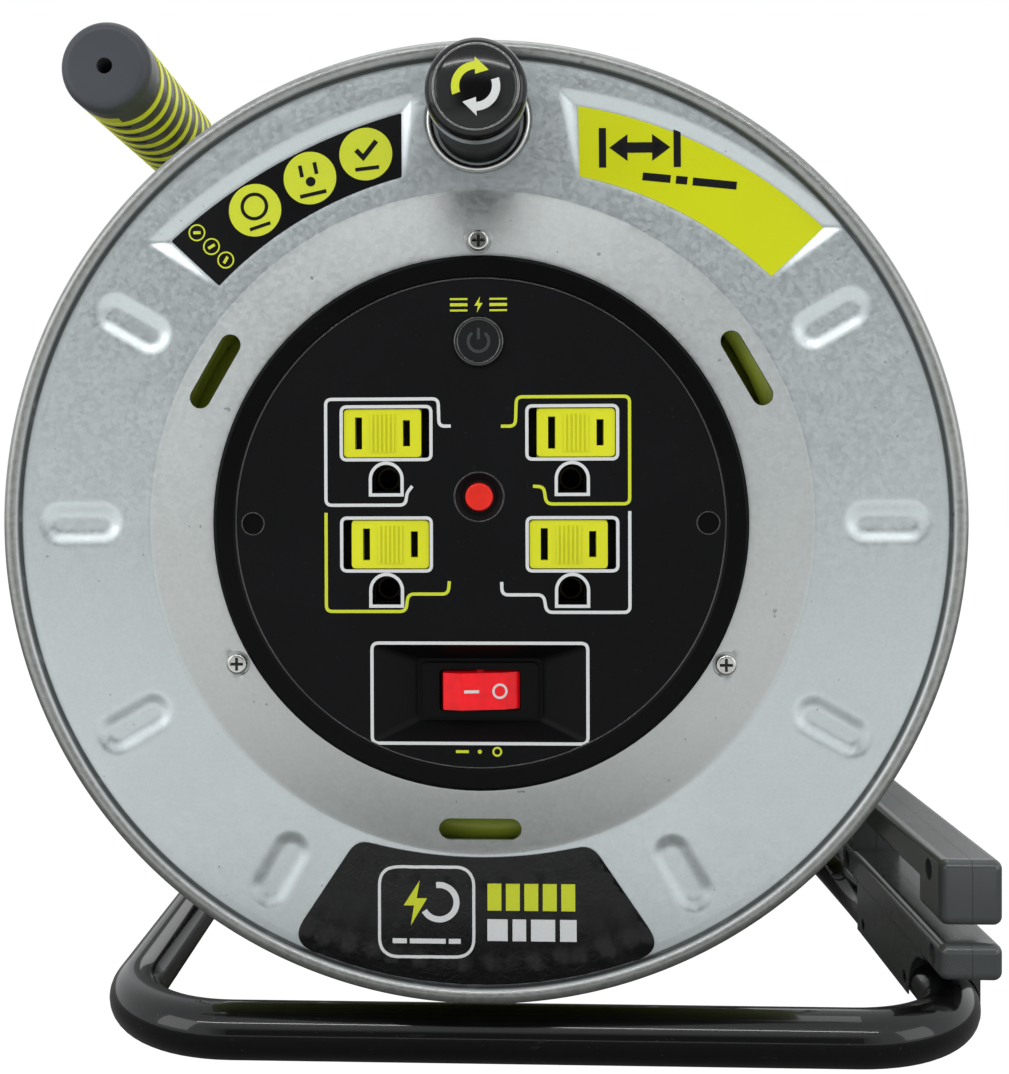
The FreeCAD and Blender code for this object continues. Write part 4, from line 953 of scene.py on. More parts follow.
class Relief:
    """Collects thin closed shapes that lie on a surface, and makes one piece of them."""

    FILM = 0.05

    def __init__(self, name: str, placement: Placement, lift: float = 0.06, sink: float = 0.03) -> None:
        """Start an empty drawing.

        Args:
            name: Name of the piece.
            placement: The surface it lies on.
            lift: How far its face stands off the surface, in millimetres.
            sink: How far its back goes below the surface, in millimetres.
        """
        self.name = name
        self.placement = placement
        self.lift = lift
        self.sink = sink
        self.mesh = bmesh.new()

    def strip(self, points: Sequence[Point2], width: float, closed: bool = False,
              corner: float = 0.0) -> None:
        """Draw a line of even width.

        Args:
            points: Its corners.
            width: Its width in millimetres.
            closed: Whether it closes on itself.
            corner: Radius at its corners.
        """
        line = [Vector(p) for p in rounded_path(points, corner, closed)]
        count = len(line)
        rows = []
        for i, here in enumerate(line):
            back = (here - line[i - 1]).normalized() if closed or i else Vector(ORIGIN)
            on = (line[(i + 1) % count] - here).normalized() if closed or i < count - 1 else back
            back = back if back.length else on
            ahead = (back + on).normalized()
            side = Vector((-ahead.y, ahead.x))
            reach = width / 2 / max(0.5, ahead.dot(on))
            made = [self.mesh.verts.new(self.placement(edge.x, edge.y, level))
                    for edge in (here + side * reach, here - side * reach)
                    for level in (self.lift, -self.sink)]
            rows.append([made[k] for k in (0, 1, 3, 2)])
        add_skin(self.mesh, rows, closed)
        if not closed:
            self.mesh.faces.new(rows[0])
            self.mesh.faces.new(rows[-1])

    def area(self, outline: Sequence[Point2], spacing: float = 0.0,
             swell: Optional[Callable[[float, float], float]] = None) -> None:
        """Draw a filled shape.

        Args:
            outline: Its closed outline.
            spacing: Distance between inner points, or 0 for none.
            swell: Extra lift at a point, in millimetres.
        """
        rim = [Vector(p) for p in outline]
        inner: list[Vector] = []
        if spacing > 0:
            low = Vector((min(p.x for p in rim), min(p.y for p in rim)))
            high = Vector((max(p.x for p in rim), max(p.y for p in rim)))
            for i in range(int((high.x - low.x) / spacing) + 1):
                for j in range(int((high.y - low.y) / spacing) + 1):
                    inner.append(Vector((low.x + i * spacing, low.y + (j + 0.5 * (i % 2)) * spacing)))
        edges = [(i, (i + 1) % len(rim)) for i in range(len(rim))]
        spots, _, faces, origins, _, _ = delaunay_2d_cdt(rim + inner, edges, [], 1, 1e-6)

        def sides(i: int) -> tuple[Vector, Vector]:
            """Give a point's places on the face and on the back."""
            u, v = spots[i]
            level = self.lift + (swell(u, v) if swell else 0.0)
            on_rim = any(k < len(rim) for k in origins[i])
            back = -self.sink if on_rim else level - self.FILM
            return self.placement(u, v, level), self.placement(u, v, back)

        add_shell(self.mesh, faces, sides)

    def build(self, finish: Finish, slot: Slot = Slot.PANEL, body: Body = Body.DRUM,
              smooth: bool = False) -> None:
        """Make the piece.

        Args:
            finish: What it is finished in.
            slot: The record's slot that it goes with; not used.
            body: The body that it rides on.
            smooth: Whether its face is shaded smooth up to its edge.
        """
        bmesh.ops.recalc_face_normals(self.mesh, faces=self.mesh.faces)
        piece = finish_piece(self.name, self.mesh, finish, body, smooth=smooth)
        if smooth:
            piece.data.set_sharp_from_angle(angle=math.radians(45.0))


def finish_piece(name: str, mesh: bmesh.types.BMesh, finish: Finish, body: Body,
                 smooth: bool = True) -> bpy.types.Object:
    """Turn a bmesh into a piece on a body.

    Args:
        name: Name of the piece.
        mesh: Its mesh, which is freed.
        finish: Its finish.
        body: The body that it rides on.
        smooth: Whether its faces are shaded smooth.

    Returns:
        The piece.
    """
    data = bpy.data.meshes.new(name)
    mesh.to_mesh(data)
    mesh.free()
    data.materials.append(finish.material())
    for polygon in data.polygons:
        polygon.use_smooth = smooth
    piece = placed(name, data)
    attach(piece, body.value)
    return piece


def swept_tube(line: Sequence[Vector], radius: Callable[[float], float], sides: int = 14,
               closed: bool = False) -> bmesh.types.BMesh:
    """Sweep a circle along a line.

    Args:
        line: Points in metres.
        radius: Radius in metres for a share of the length from 0 to 1.
        sides: Sides of the circle.
        closed: Whether the line closes on itself.

    Returns:
        The tube's mesh.
    """
    mesh = bmesh.new()
    rings = []
    count = len(line)
    side = Vector((0.0, 0.0, 1.0))
    for i, here in enumerate(line):
        before = line[i - 1] if closed or i else here
        after = line[(i + 1) % count] if closed or i < count - 1 else here
        ahead = (after - before).normalized()
        side = side - ahead * side.dot(ahead)
        if side.length < 1e-6:
            side = ahead.orthogonal()
        side.normalize()
        up = ahead.cross(side)
        size = radius(i / max(1, count - 1))
        rings.append([mesh.verts.new(here + (side * math.cos(a) + up * math.sin(a)) * size)
                      for a in (2 * math.pi * k / sides for k in range(sides))])
    add_skin(mesh, rings, closed)
    if not closed:
        mesh.faces.new(list(reversed(rings[0])))
        mesh.faces.new(rings[-1])
    bmesh.ops.recalc_face_normals(mesh, faces=mesh.faces)
    return mesh


# Camera and cable


@dataclass(frozen=True)
class CameraView:
    """The photograph's view."""

    place: tuple[float, float, float] = (6.91, -371.2, 12.26)
    yaw: float = 2.5
    pitch: float = -0.481
    roll: float = -0.194
    focal_pixels: float = 1405.4
    principal: Point2 = (443.9, 488.9)
    photo: tuple[int, int] = (1009, 1074)

    def build(self, space: DrumSpace) -> None:
        """Make the camera.

        Args:
            space: The drum's space.
        """
        data = bpy.data.cameras.new("camera")
        width, height = self.photo
        data.sensor_fit = "VERTICAL"
        data.sensor_height = 24.0
        data.lens = self.focal_pixels * data.sensor_height / height
        data.shift_x = (width / 2 - self.principal[0]) / height
        data.shift_y = (self.principal[1] - height / 2) / height
        data.clip_start = 0.02
        camera = placed("camera", data)
        stand = Matrix.Translation(space.point(*self.place))
        for degrees, axis in ((self.yaw, "Z"), (90.0 + self.pitch, "X"), (self.roll, "Z")):
            stand = stand @ Matrix.Rotation(math.radians(degrees), 4, axis)
        camera.matrix_world = stand
        scene = bpy.context.scene
        scene.camera = camera
        scene.render.resolution_x = width
        scene.render.resolution_y = height
        scene.view_settings.view_transform = "Standard"


@dataclass(frozen=True)
class Layer:
    """One layer of turns on the drum."""

    radius: float
    first_y: float
    last_y: float
    turns: float
    climb: float
    dwell: float


@dataclass(frozen=True)
class Winding:
    """The whole cable: three inner layers, the outer layer and the run to its plug."""

    diameter: float = 9.0
    length: float = 30.0
    first_degrees: float = 110.0
    points_per_turn: int = 14
    layers: tuple[Layer, ...] = (
        Layer(82.3, 124.9, 24.0, 11.1, 1.0, 0.0),
        Layer(82.3, 24.0, 11.1, 0.4, 1.0, 0.0),
        Layer(90.15, 11.1, 130.9, 13.5, 180.0, 180.0),
        Layer(98.0, 130.9, 11.1, 13.25, 180.0, 180.0),
        Layer(107.3, 11.1, 100.3, 9.2964, 90.0, 0.0),
    )
    approach: tuple[tuple[float, float, float], ...] = (
        (110.3, 307.0, 100.6), (112.2, 330.0, 103.8), (115.8, 352.0, 109.4), (119.8, 13.0, 115.4),
    )
    park_degrees: float = 62.0
    park_radius: float = 113.3
    park_y: float = 120.9
    tail_back: float = 22.0
    end_runs: tuple[float, ...] = (31.0, 9.0, 0.0)

    def turns(self, space: DrumSpace) -> list[Vector]:
        """Follow the layers in order.

        Args:
            space: The drum's space.

        Returns:
            Control points, whose smooth curve has the layers' radii.
        """
        made: list[Vector] = []
        step = 360.0 / self.points_per_turn
        outward = 4.0 / (3.0 + math.cos(math.radians(step)))
        degrees = self.first_degrees
        radius = self.layers[0].radius
        for layer in self.layers:
            count = round(layer.turns * self.points_per_turn)
            whole = layer.turns * 360.0
            for i in range(count):
                gone = whole * i / count
                here = radius + (layer.radius - radius) * eased(gone / layer.climb)
                along = max(0.0, (gone - layer.dwell) / (whole - layer.dwell))
                y = layer.first_y + (layer.last_y - layer.first_y) * along
                made.append(space.polar(here * outward, degrees + gone, y))
            degrees += whole
            radius = layer.radius
        return made

    def points(self, space: DrumSpace) -> list[Vector]:
        """Give the whole route.

        Args:
            space: The drum's space.

        Returns:
            Control points from the barrel to the plug.
        """
        made = self.turns(space)
        made += [space.polar(r, a, y) for r, a, y in self.approach]
        turn = math.radians(self.park_degrees)
        up = Vector((math.cos(turn), 0.0, math.sin(turn)))
        along = Vector((-up.z, 0.0, up.x))
        for back in self.end_runs:
            spot = up * self.park_radius - along * (self.tail_back + back)
            made.append(space.point(spot.x, self.park_y, spot.z))
        return made

    def build(self, space: DrumSpace, finish: Finish) -> None:
        """Make the cable.

        Args:
            space: The drum's space.
            finish: Its jacket.
        """
        route = self.points(space)
        data = bpy.data.curves.new("cable", "CURVE")
        data.dimensions = "3D"
        spline = data.splines.new("NURBS")
        spline.points.add(len(route) - 1)
        for target, spot in zip(spline.points, route):
            target.co = (*spot, 1.0)
        spline.order_u = 3
        spline.use_endpoint_u = True
        spline.resolution_u = 4
        data.resolution_u = 4
        data.bevel_depth = self.diameter / 2 * MM
        data.bevel_resolution = 3
        data.use_fill_caps = True
        data.materials.append(finish.material())
        cable = placed("cable", data)
        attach(cable, Body.DRUM.value)
        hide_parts("cable_winding", "cable_core")
        self.diameter * MM


# Pieces


@dataclass(frozen=True)
class Hole:
    """A round hole in a pressed sheet."""

    radius: float
    place: float
    degrees: float

    @property
    def for_screw(self) -> bool:
        """Say whether a screw goes through it."""
        return self.radius < 2.0

    def centre(self) -> Vector:
        """Give its middle in the sheet's plan."""
        turn = math.radians(self.degrees)
        return Vector((math.cos(turn), math.sin(turn))) * self.place


@dataclass(frozen=True)
class Run:
    """A straight run in the sheet's plan, along the radius or across it."""

    middle: float
    half: float
    degrees: float
    across: bool = False

    def off(self, spot: Vector) -> float:
        """Measure from the run to a point.

        Args:
            spot: The point in the plan.

        Returns:
            The distance.
        """
        turn = math.radians(self.degrees)
        outward = Vector((math.cos(turn), math.sin(turn)))
        gap = spot - outward * self.middle
        along = Vector((-outward.y, outward.x)) if self.across else outward
        reach = gap.dot(along)
        rest = (gap - along * reach).length
        return math.hypot(max(0.0, abs(reach) - self.half), rest)

    def line(self, radius: float, step: float) -> list[Point2]:
        """Trace the line at one distance round the run.

        Args:
            radius: The distance.
            step: Spacing of the points.

        Returns:
            The closed line.
        """
        bends = max(5, int(math.pi * radius / step))
        runs = max(1, int(2 * self.half / step))
        shape: list[Point2] = []
        for side in (1, -1):
            for t in (math.pi * (k / bends - 0.5) for k in range(bends + 1)):
                shape.append((side * (self.half + radius * math.cos(t)), side * radius * math.sin(t)))
            shape += [(side * (self.half - 2 * self.half * k / runs), side * radius) for k in range(1, runs)]
        turn = math.radians(self.degrees)
        centre = (self.middle * math.cos(turn), self.middle * math.sin(turn))
        return turned(shape, centre, self.degrees + (90.0 if self.across else 0.0))


@dataclass(frozen=True)
class Pressing:
    """The profile of a pressed shape across its edge."""

    edge: float
    floor: float
    depth: float

    def at(self, off: float) -> float:
        """Give the depth at a distance from the shape's middle."""
        return self.depth * eased((self.edge - off) / (self.edge - self.floor))


@dataclass(frozen=True)
class ArcLabel:
    """A label's outline: two arcs joined by straight ends."""

    corners: tuple[Point2, Point2, Point2, Point2]
    inner_centre: Point2
    outer_centre: Point2
    corner: float = 0.5

    @staticmethod
    def arc(start: Point2, end: Point2, centre: Point2, steps: int = 40) -> list[Point2]:
        """Sample the arc from one corner to the next.

        Args:
            start: Its first point.
            end: Its last point.
            centre: Its middle.
            steps: Number of steps.

        Returns:
            The points, ends included.
        """
        a, b = Vector(start) - Vector(centre), Vector(end) - Vector(centre)
        first, last = math.atan2(a.y, a.x), math.atan2(b.y, b.x)
        made = [start]
        for share in (i / steps for i in range(1, steps)):
            turn = first + (last - first) * share
            reach = a.length + (b.length - a.length) * share
            made.append((centre[0] + reach * math.cos(turn), centre[1] + reach * math.sin(turn)))
        return made + [end]

    def outline(self) -> list[Point2]:
        """Trace the label.

        Returns:
            The closed outline.
        """
        a, b, c, d = self.corners
        arcs = self.arc(a, b, self.inner_centre), self.arc(c, d, self.outer_centre)
        return joined_arcs(*arcs, (self.corner, self.corner), (self.corner * 1.1, self.corner * 1.1), 5)


@dataclass(frozen=True)
class Recess:
    """A shallow place for a label, deeper towards the rim, with slanted walls."""

    near_end: tuple[Point2, Point2]
    far_end: tuple[Point2, Point2]
    side: int
    inner_centre: Point2
    inner: float
    outer_centre: Point2
    outer: float
    deep: float = 1.65
    shallow: float = 0.12
    slope: float = 0.42
    round_off: float = 0.26
    walls: Point2 = (-0.8, 5.2)

    @staticmethod
    def past(line: tuple[Point2, Point2], spot: Vector) -> float:
        """Measure from a line to a point on its right.

        Args:
            line: Two points of the line, the inner one first.
            spot: The point.

        Returns:
            The distance, below 0 on the line's left.
        """
        start = Vector(line[0])
        ahead = (Vector(line[1]) - start).normalized()
        off = spot - start
        return off.x * ahead.y - off.y * ahead.x

    def from_arcs(self, spot: Vector) -> Point2:
        """Measure from the inner arc outwards, and from the outer arc inwards."""
        return ((spot - Vector(self.inner_centre)).length - self.inner,
                self.outer - (spot - Vector(self.outer_centre)).length)

    def inside(self, spot: Vector) -> float:
        """Measure how far inside the nearest edge a point lies."""
        near, far = (self.side * self.past(line, spot) for line in (self.near_end, self.far_end))
        return min(near, -far, *self.from_arcs(spot))

    def on_walls(self, spot: Vector) -> bool:
        """Say whether a point lies on the slanted walls."""
        return self.walls[0] < self.inside(spot) < self.walls[1]

    def wall_points(self, step: float = 0.62) -> list[Point2]:
        """List close mesh points over the walls.

        Args:
            step: Their spacing.

        Returns:
            The points.
        """
        low = min(self.near_end[1][0], self.near_end[1][0] + self.side * 78.0) - 2.0
        spots = (Vector((low + step * i + step / 2 * (j % 2), 54.0 + step * j))
                 for i in range(int(80.0 / step)) for j in range(int(68.0 / step)))
        return [tuple(spot) for spot in spots if self.on_walls(spot)]

    def ramp(self, spot: Vector) -> float:
        """Give the floor's depth below the web, walls left out.

        Args:
            spot: The point in the plan.

        Returns:
            Millimetres.
        """
        up, down = self.from_arcs(spot)
        share = min(1.0, max(0.0, up / max(1.0, up + down)))
        return self.shallow + (self.deep - self.shallow) * share

    def pressed(self, spot: Vector) -> float:
        """Give the depth below the web, walls included.

        Args:
            spot: The point in the plan.

        Returns:
            Millimetres, 0 outside.
        """
        wall = self.inside(spot) * self.slope
        wall = (wall + math.hypot(wall, self.round_off)) / 2
        over = self.ramp(spot) - wall
        return max(0.0, self.ramp(spot) - (over + math.hypot(over, self.round_off)) / 2)


def ribs_at(angles: Sequence[float]) -> tuple[Run, ...]:
    """Give the radial ribs at these angles."""
    return tuple(Run(WEB_MIDDLE, 5.55, angle) for angle in angles)


@dataclass(frozen=True)
class PressedSheet:
    """A flange's sheet: its depth at each point of its plan, its cut-outs and its rolled rim."""

    opening: float = 66.5
    edge: float = 125.2
    thickness: float = 1.0
    curl_middle: float = 125.69
    curl: float = 2.3
    stations: tuple[Point2, ...] = (
        (0.0, 1.4), (71.5, 1.4), (88.3, 2.75), (96.0, 2.68), (121.0, 2.5), (130.0, 2.5),
    )
    ribs: tuple[Run, ...] = ribs_at((0.0, 30.0, 150.0, 180.0, 210.0, 240.0, 300.0, 330.0))
    rib: Pressing = Pressing(6.2, 1.5, 1.05)
    recesses: tuple[Recess, ...] = (
        Recess(((-19.8, 92.1), (-17.3, 109.4)), ((-70.0, 63.2), (-85.3, 73.0)), -1, (5.2, -8.9), 103.4,
               (16.3, -33.4), 151.4),
        Recess(((26.2, 91.8), (22.3, 110.6)), ((77.6, 64.2), (93.0, 75.4)), 1, (3.5, -11.9), 105.4,
               (4.9, -10.7), 126.9),
    )
    seat: Optional[Pressing] = Pressing(14.2, 12.5, 2.25)
    slots: tuple[Run, ...] = tuple(Run(81.5, 8.1, angle, True) for angle in (30.0, 150.0, 270.0))
    slot_radius: float = 2.9
    holes: tuple[Hole, ...] = (*(Hole(1.56, SCREW_CIRCLE, angle) for angle in SCREW_ANGLES),
                               Hole(4.1, WEB_MIDDLE, 90.0))
    screw_flat: float = 3.3
    screw_seat: float = 1.93
    grain: float = 1.9
    fine_grain: float = 0.75

    @staticmethod
    def rear(opening: float, holes: tuple[Hole, ...]) -> "PressedSheet":
        """Describe the plain flange at the back."""
        ribs = ribs_at([30.0 * i for i in range(12)])
        return PressedSheet(opening=opening, ribs=ribs, recesses=(), seat=None, slots=(), holes=holes)

    def base(self, radius: float) -> float:
        """Give the turned profile's depth, its bends rounded.

        Args:
            radius: Millimetres from the axis.

        Returns:
            Millimetres behind the rim's front.
        """
        total = 0.0
        for shift in (-0.7, -0.35, 0.0, 0.35, 0.7):
            r = radius + shift
            for (r0, y0), (r1, y1) in zip(self.stations, self.stations[1:]):
                if r <= r1:
                    total += y0 + (y1 - y0) * max(0.0, (r - r0) / (r1 - r0))
                    break
        return total / 5

    def depth(self, u: float, v: float) -> float:
        """Give the front face's depth.

        Args:
            u: Millimetres to the right of the axis.
            v: Millimetres above it.

        Returns:
            Millimetres behind the rim's front.
        """
        radius = math.hypot(u, v)
        degrees = math.degrees(math.atan2(v, u)) % 360.0
        spot = Vector((u, v))
        if any(hole.for_screw and (spot - hole.centre()).length < self.screw_flat for hole in self.holes):
            return self.screw_seat
        pressed = [0.0]
        if radius > 88.0:
            pressed += [self.rib.at(rib.off(spot)) for rib in self.ribs
                        if abs((degrees - rib.degrees + 180.0) % 360.0 - 180.0) < 9.0]
            pressed += [recess.pressed(spot) for recess in self.recesses]
            if self.seat:
                pressed.append(self.seat.at((spot - Vector(KNOB_CENTRE)).length))
        return self.base(radius) + max(pressed)

    def covers(self, spot: Vector, rims: Point2, slot: float, hole: float, flat: float = 0.0) -> bool:
        """Say whether a point lies on the sheet.

        Args:
            spot: The point in the plan.
            rims: How far inside the opening's edge and the outer edge it has to lie.
            slot: How far outside a slot's edge.
            hole: How far outside a hole's edge.
            flat: Radius that each hole counts with at least.

        Returns:
            True where it does.
        """
        return (self.opening + rims[0] < spot.length < self.edge - rims[1]
                and all(run.off(spot) >= self.slot_radius + slot for run in self.slots)
                and all((spot - h.centre()).length > max(h.radius, flat) + hole for h in self.holes))

    def free(self, spot: Vector) -> bool:
        """Say whether a plain mesh point may lie here.

        Args:
            spot: The point in the plan.

        Returns:
            True away from everything that has points of its own.
        """
        if self.seat and (spot - Vector(KNOB_CENTRE)).length < self.seat.edge + 1.2:
            return False
        return (self.covers(spot, (0.8, 0.5), 0.9, 0.9, self.screw_flat)
                and all(rib.off(spot) >= self.rib.edge + 1.4 for rib in self.ribs)
                and not any(recess.on_walls(spot) for recess in self.recesses))

    def cut_lines(self) -> list[list[Point2]]:
        """List the closed lines that bound the sheet.

        Returns:
            The rim, the opening and each cut-out.
        """
        lines = [circle_points(ORIGIN, self.edge, 420), circle_points(ORIGIN, self.opening, 240)]
        lines += [slot.line(self.slot_radius, 0.7) for slot in self.slots]
        return lines + [circle_points(tuple(hole.centre()), hole.radius, 28) for hole in self.holes]

    def points(self) -> list[Point2]:
        """List the free mesh points: rings, and close lines along each pressed edge.

        Returns:
            The points.
        """
        made: list[Point2] = []
        radius, row = self.opening + 1.0, 0
        while radius < self.edge - 0.6:
            count = int(2 * math.pi * radius / 2.1)
            start = 180.0 / count * (row % 2)
            made += [q for q in circle_points(ORIGIN, radius, count, start, start + 360.0)
                     if self.free(Vector(q))]
            radius += self.fine_grain if 86.0 < radius < 97.0 or 118.0 < radius else self.grain
            row += 1
        for rib in self.ribs:
            for k in range(15):
                made += rib.line(0.8 + 0.45 * k + (0.35 if k > 12 else 0.0), self.fine_grain)
        for recess in self.recesses:
            made += [q for q in recess.wall_points() if self.opening < Vector(q).length < self.edge - 0.6]
        if self.seat:
            for k in range(9):
                made += circle_points(KNOB_CENTRE, self.seat.edge + 0.7 - 0.35 * k, 90)
        for hole in self.holes:
            if hole.for_screw:
                for reach in (self.screw_flat - 0.1, self.screw_flat + 0.1):
                    made += circle_points(tuple(hole.centre()), reach, 30)
        return made

    def build(self, name: str, space: DrumSpace, finish: Finish, replaced: str, mirror: float = 0.0) -> None:
        """Make the flange in place of its CAD node.

        Args:
            name: Name of the piece.
            space: The drum's space.
            finish: The sheet's finish.
            replaced: The node that it stands in for.
            mirror: The drum's width for the flange at the back, or 0.
        """

        def place(u: float, v: float, y: float) -> Vector:
            """Place a point of the front or, mirrored, of the back flange."""
            return space.point(u, mirror - y if mirror else y, v)

        spots: list[Vector] = []
        edges: list[tuple[int, int]] = []
        for line in self.cut_lines():
            first = len(spots)
            spots += [Vector(q) for q in line]
            edges += [(first + i, first + (i + 1) % len(line)) for i in range(len(line))]
        spots += [Vector(q) for q in self.points()]
        flat, _, faces, _, _, _ = delaunay_2d_cdt(spots, edges, [], 0, 1e-5)

        def sides(i: int) -> tuple[Vector, Vector]:
            """Give a point's places on the front and on the back."""
            u, v = flat[i]
            deep = self.depth(u, v)
            return place(u, v, deep), place(u, v, deep + self.thickness)

        middles = (sum((flat[i] for i in face), Vector(ORIGIN)) / len(face) for face in faces)
        kept = [face for face, middle in zip(faces, middles) if self.covers(middle, (0.0, 0.0), -0.02, -0.03)]
        mesh = bmesh.new()
        add_shell(mesh, kept, sides)
        self.add_curl(mesh, place)
        bmesh.ops.recalc_face_normals(mesh, faces=mesh.faces)
        piece = finish_piece(name, mesh, finish, Body.DRUM)
        piece.data.set_sharp_from_angle(angle=math.radians(48.0))
        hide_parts(replaced)

    def add_curl(self, mesh: bmesh.types.BMesh, place: Placement, around: int = 420, sides: int = 22) -> None:
        """Add the rolled rim.

        Args:
            mesh: The sheet's mesh.
            place: Places (across, up, depth) in the shared frame.
            around: Steps round the drum.
            sides: Steps round the roll.
        """
        rings = []
        for turn in (2 * math.pi * i / around for i in range(around)):
            ring = []
            for t in (2 * math.pi * k / sides for k in range(sides)):
                reach = self.curl_middle + self.curl * math.cos(t)
                deep = self.curl - self.curl * math.sin(t)
                ring.append(mesh.verts.new(place(reach * math.cos(turn), reach * math.sin(turn), deep)))
            rings.append(ring)
        add_skin(mesh, rings, True)


class Artwork:
    """Plain prints and labels: lines, bars, rings and simple signs."""

    def __init__(self, space: DrumSpace, palette: Palette) -> None:
        """Keep the space and the finishes.

        Args:
            space: The drum's space.
            palette: The finishes.
        """
        self.space = space
        self.palette = palette
        self.sheet = PressedSheet()

    def on_plane(self, y: float) -> Placement:
        """Lay a drawing on an upright plane of the drum."""
        return lambda u, v, lift: self.space.point(u, y - lift, v)

    def on_floor(self, recess: Recess, above: float) -> Placement:
        """Lay a drawing on a recess's floor.

        Args:
            recess: The recess.
            above: How far in front of the floor, in millimetres.

        Returns:
            The placement.
        """

        def place(u: float, v: float, lift: float) -> Vector:
            """Follow the floor and leave its walls out."""
            deep = self.sheet.base(math.hypot(u, v)) + recess.ramp(Vector((u, v)))
            return self.space.point(u, deep - above - lift, v)

        return place

    def bridged(self, u: float, v: float, reach: float = 1.8) -> float:
        """Give the depth of a stiff film that spans the sheet's creases.

        Args:
            u: Millimetres across.
            v: Millimetres up.
            reach: Half the span that it evens out.

        Returns:
            Millimetres behind the rim's front.
        """
        radius = math.hypot(u, v)
        samples = [self.sheet.base(radius + reach * k / 3) for k in range(-3, 4)]
        return min(sum(samples) / len(samples), samples[3])

    @staticmethod
    def bolt(centre: Point2, height: float) -> list[Point2]:
        """Outline a lightning sign of this height."""
        shape = [(0.10, 0.5), (-0.26, -0.06), (-0.03, -0.06), (-0.10, -0.5), (0.26, 0.10), (0.03, 0.10)]
        return [(centre[0] + x * height, centre[1] + z * height) for x, z in shape]


@dataclass(frozen=True)
class PanelPrint:
    """Printed lines of the socket panel."""

    face: float = -1.0
    line: float = 0.85
    corner: float = 1.6
    columns: tuple[float, float] = (-24.5, 24.5)
    rows: tuple[float, float] = (23.9, -5.5)
    window: Point2 = (23.75, 14.0)
    ground_drop: float = 12.1
    ground_half: float = 4.2
    ground_height: float = 8.4
    switch: tuple[float, float, float] = (-44.8, 56.9, 26.5)
    lamp_sign_height: float = 57.6
    lamp_bars: tuple[Point2, ...] = ((0.0, 0.8), (-1.5, 0.5), (1.5, 0.5))
    lens_face: float = -1.9
    lens_sign: float = 2.7
    mark_height: float = -60.2
    white_brackets: tuple[tuple[Point2, ...], ...] = (
        ((-7.4, 25.7), (-10.5, 25.7), (-10.7, 32.9), (-40.5, 32.9), (-40.5, 4.9), (-19.4, 4.9), (-19.0, 8.2),
         (-17.6, 9.9)),
        ((39.5, 3.2), (39.5, -23.4), (17.7, -23.4), (16.9, -18.8), (6.0, -18.8), (5.9, -15.4)),
    )
    lime_brackets: tuple[tuple[Point2, ...], ...] = (
        ((5.8, 25.6), (9.6, 25.6), (9.9, 33.3), (39.5, 33.3), (39.5, 5.1), (17.7, 5.1), (17.0, 9.6),
         (14.2, 9.8)),
        ((-40.5, 2.9), (-40.5, -23.2), (-19.4, -23.2), (-18.8, -18.6), (-8.2, -18.6), (-7.9, -15.2)),
    )

    def ground_line(self, x: float, z: float) -> list[Point2]:
        """Outline the ground hole of one outlet.

        Args:
            x: The outlet's place across.
            z: The outlet's place up.

        Returns:
            The closed line.
        """
        low = z - self.ground_drop - self.ground_height / 2
        spring = z - self.ground_drop + self.ground_height / 2 - self.ground_half
        arch = circle_points((x, spring), self.ground_half, 20, 0.0, 180.0)
        return [(x - self.ground_half, low), (x + self.ground_half, low), *arch]

    def build(self, art: Artwork) -> None:
        """Make the prints.

        Args:
            art: The drawing tools.
        """
        surface = art.on_plane(self.face)
        white = Relief("panel_print_white", surface)
        lime = Relief("panel_print_lime", surface)
        for drawing, brackets in ((white, self.white_brackets), (lime, self.lime_brackets)):
            for points in brackets:
                drawing.strip(points, self.line, False, self.corner)
        for x in self.columns:
            for z in self.rows:
                white.strip(rectangle((x, z), *self.window), self.line, True, 1.5)
                white.strip(self.ground_line(x, z), self.line, True)
        height, width, tall = self.switch
        white.strip(rectangle((0.0, height), width, tall), self.line, True, 1.8)
        lime.area(art.bolt((0.0, self.lamp_sign_height), 4.2))
        for side in (-1, 1):
            for rise, thick in self.lamp_bars:
                lime.area(rectangle((side * 5.2, self.lamp_sign_height + rise), 4.6, thick))
        lime.area(rectangle((-4.6, self.mark_height), 3.4, 0.75))
        lime.area(circle_points((0.0, self.mark_height), 0.55, 20))
        lime.strip(circle_points((4.6, self.mark_height), 1.05, 28), 0.5, True)
        white.build(art.palette.white_ink)
        lime.build(art.palette.lime_ink)
        reach = self.lens_sign
        sign = Relief("lens_sign", art.on_plane(self.lens_face))
        sign.strip(circle_points(LENS_CENTRE, reach, 40, 128.0, 412.0), 0.8)
        sign.area(rectangle((LENS_CENTRE[0], LENS_CENTRE[1] + reach * 0.75), 0.8, reach * 1.1))
        sign.build(art.palette.lens_ink, Slot.LENS)


@dataclass(frozen=True)
class RockerMarks:
    """On and off signs on the tilted rocker."""

    pivot_y: float = 7.0
    pivot_z: float = -44.8
    face: float = 2.0
    tilt: float = 9.0
    bar: tuple[float, float, float] = (-3.0, 4.0, 0.8)
    ring: tuple[float, float, float] = (4.6, 1.75, 0.6)

    def build(self, art: Artwork) -> None:
        """Make the signs.

        Args:
            art: The drawing tools.
        """
        c, s = math.cos(math.radians(self.tilt)), math.sin(math.radians(self.tilt))

        def place(u: float, v: float, lift: float) -> Vector:
            """Turn a point about the rocker's pin."""
            y = self.face - lift - self.pivot_y
            return art.space.point(u * c - y * s, u * s + y * c + self.pivot_y, v + self.pivot_z)

        marks = Relief("rocker_marks", place)
        marks.area(rectangle((self.bar[0], 0.0), self.bar[1], self.bar[2]))
        marks.strip(circle_points((self.ring[0], 0.0), self.ring[1], 36), self.ring[2], True)
        marks.build(art.palette.white_ink, Slot.ROCKER, Body.ROCKER)


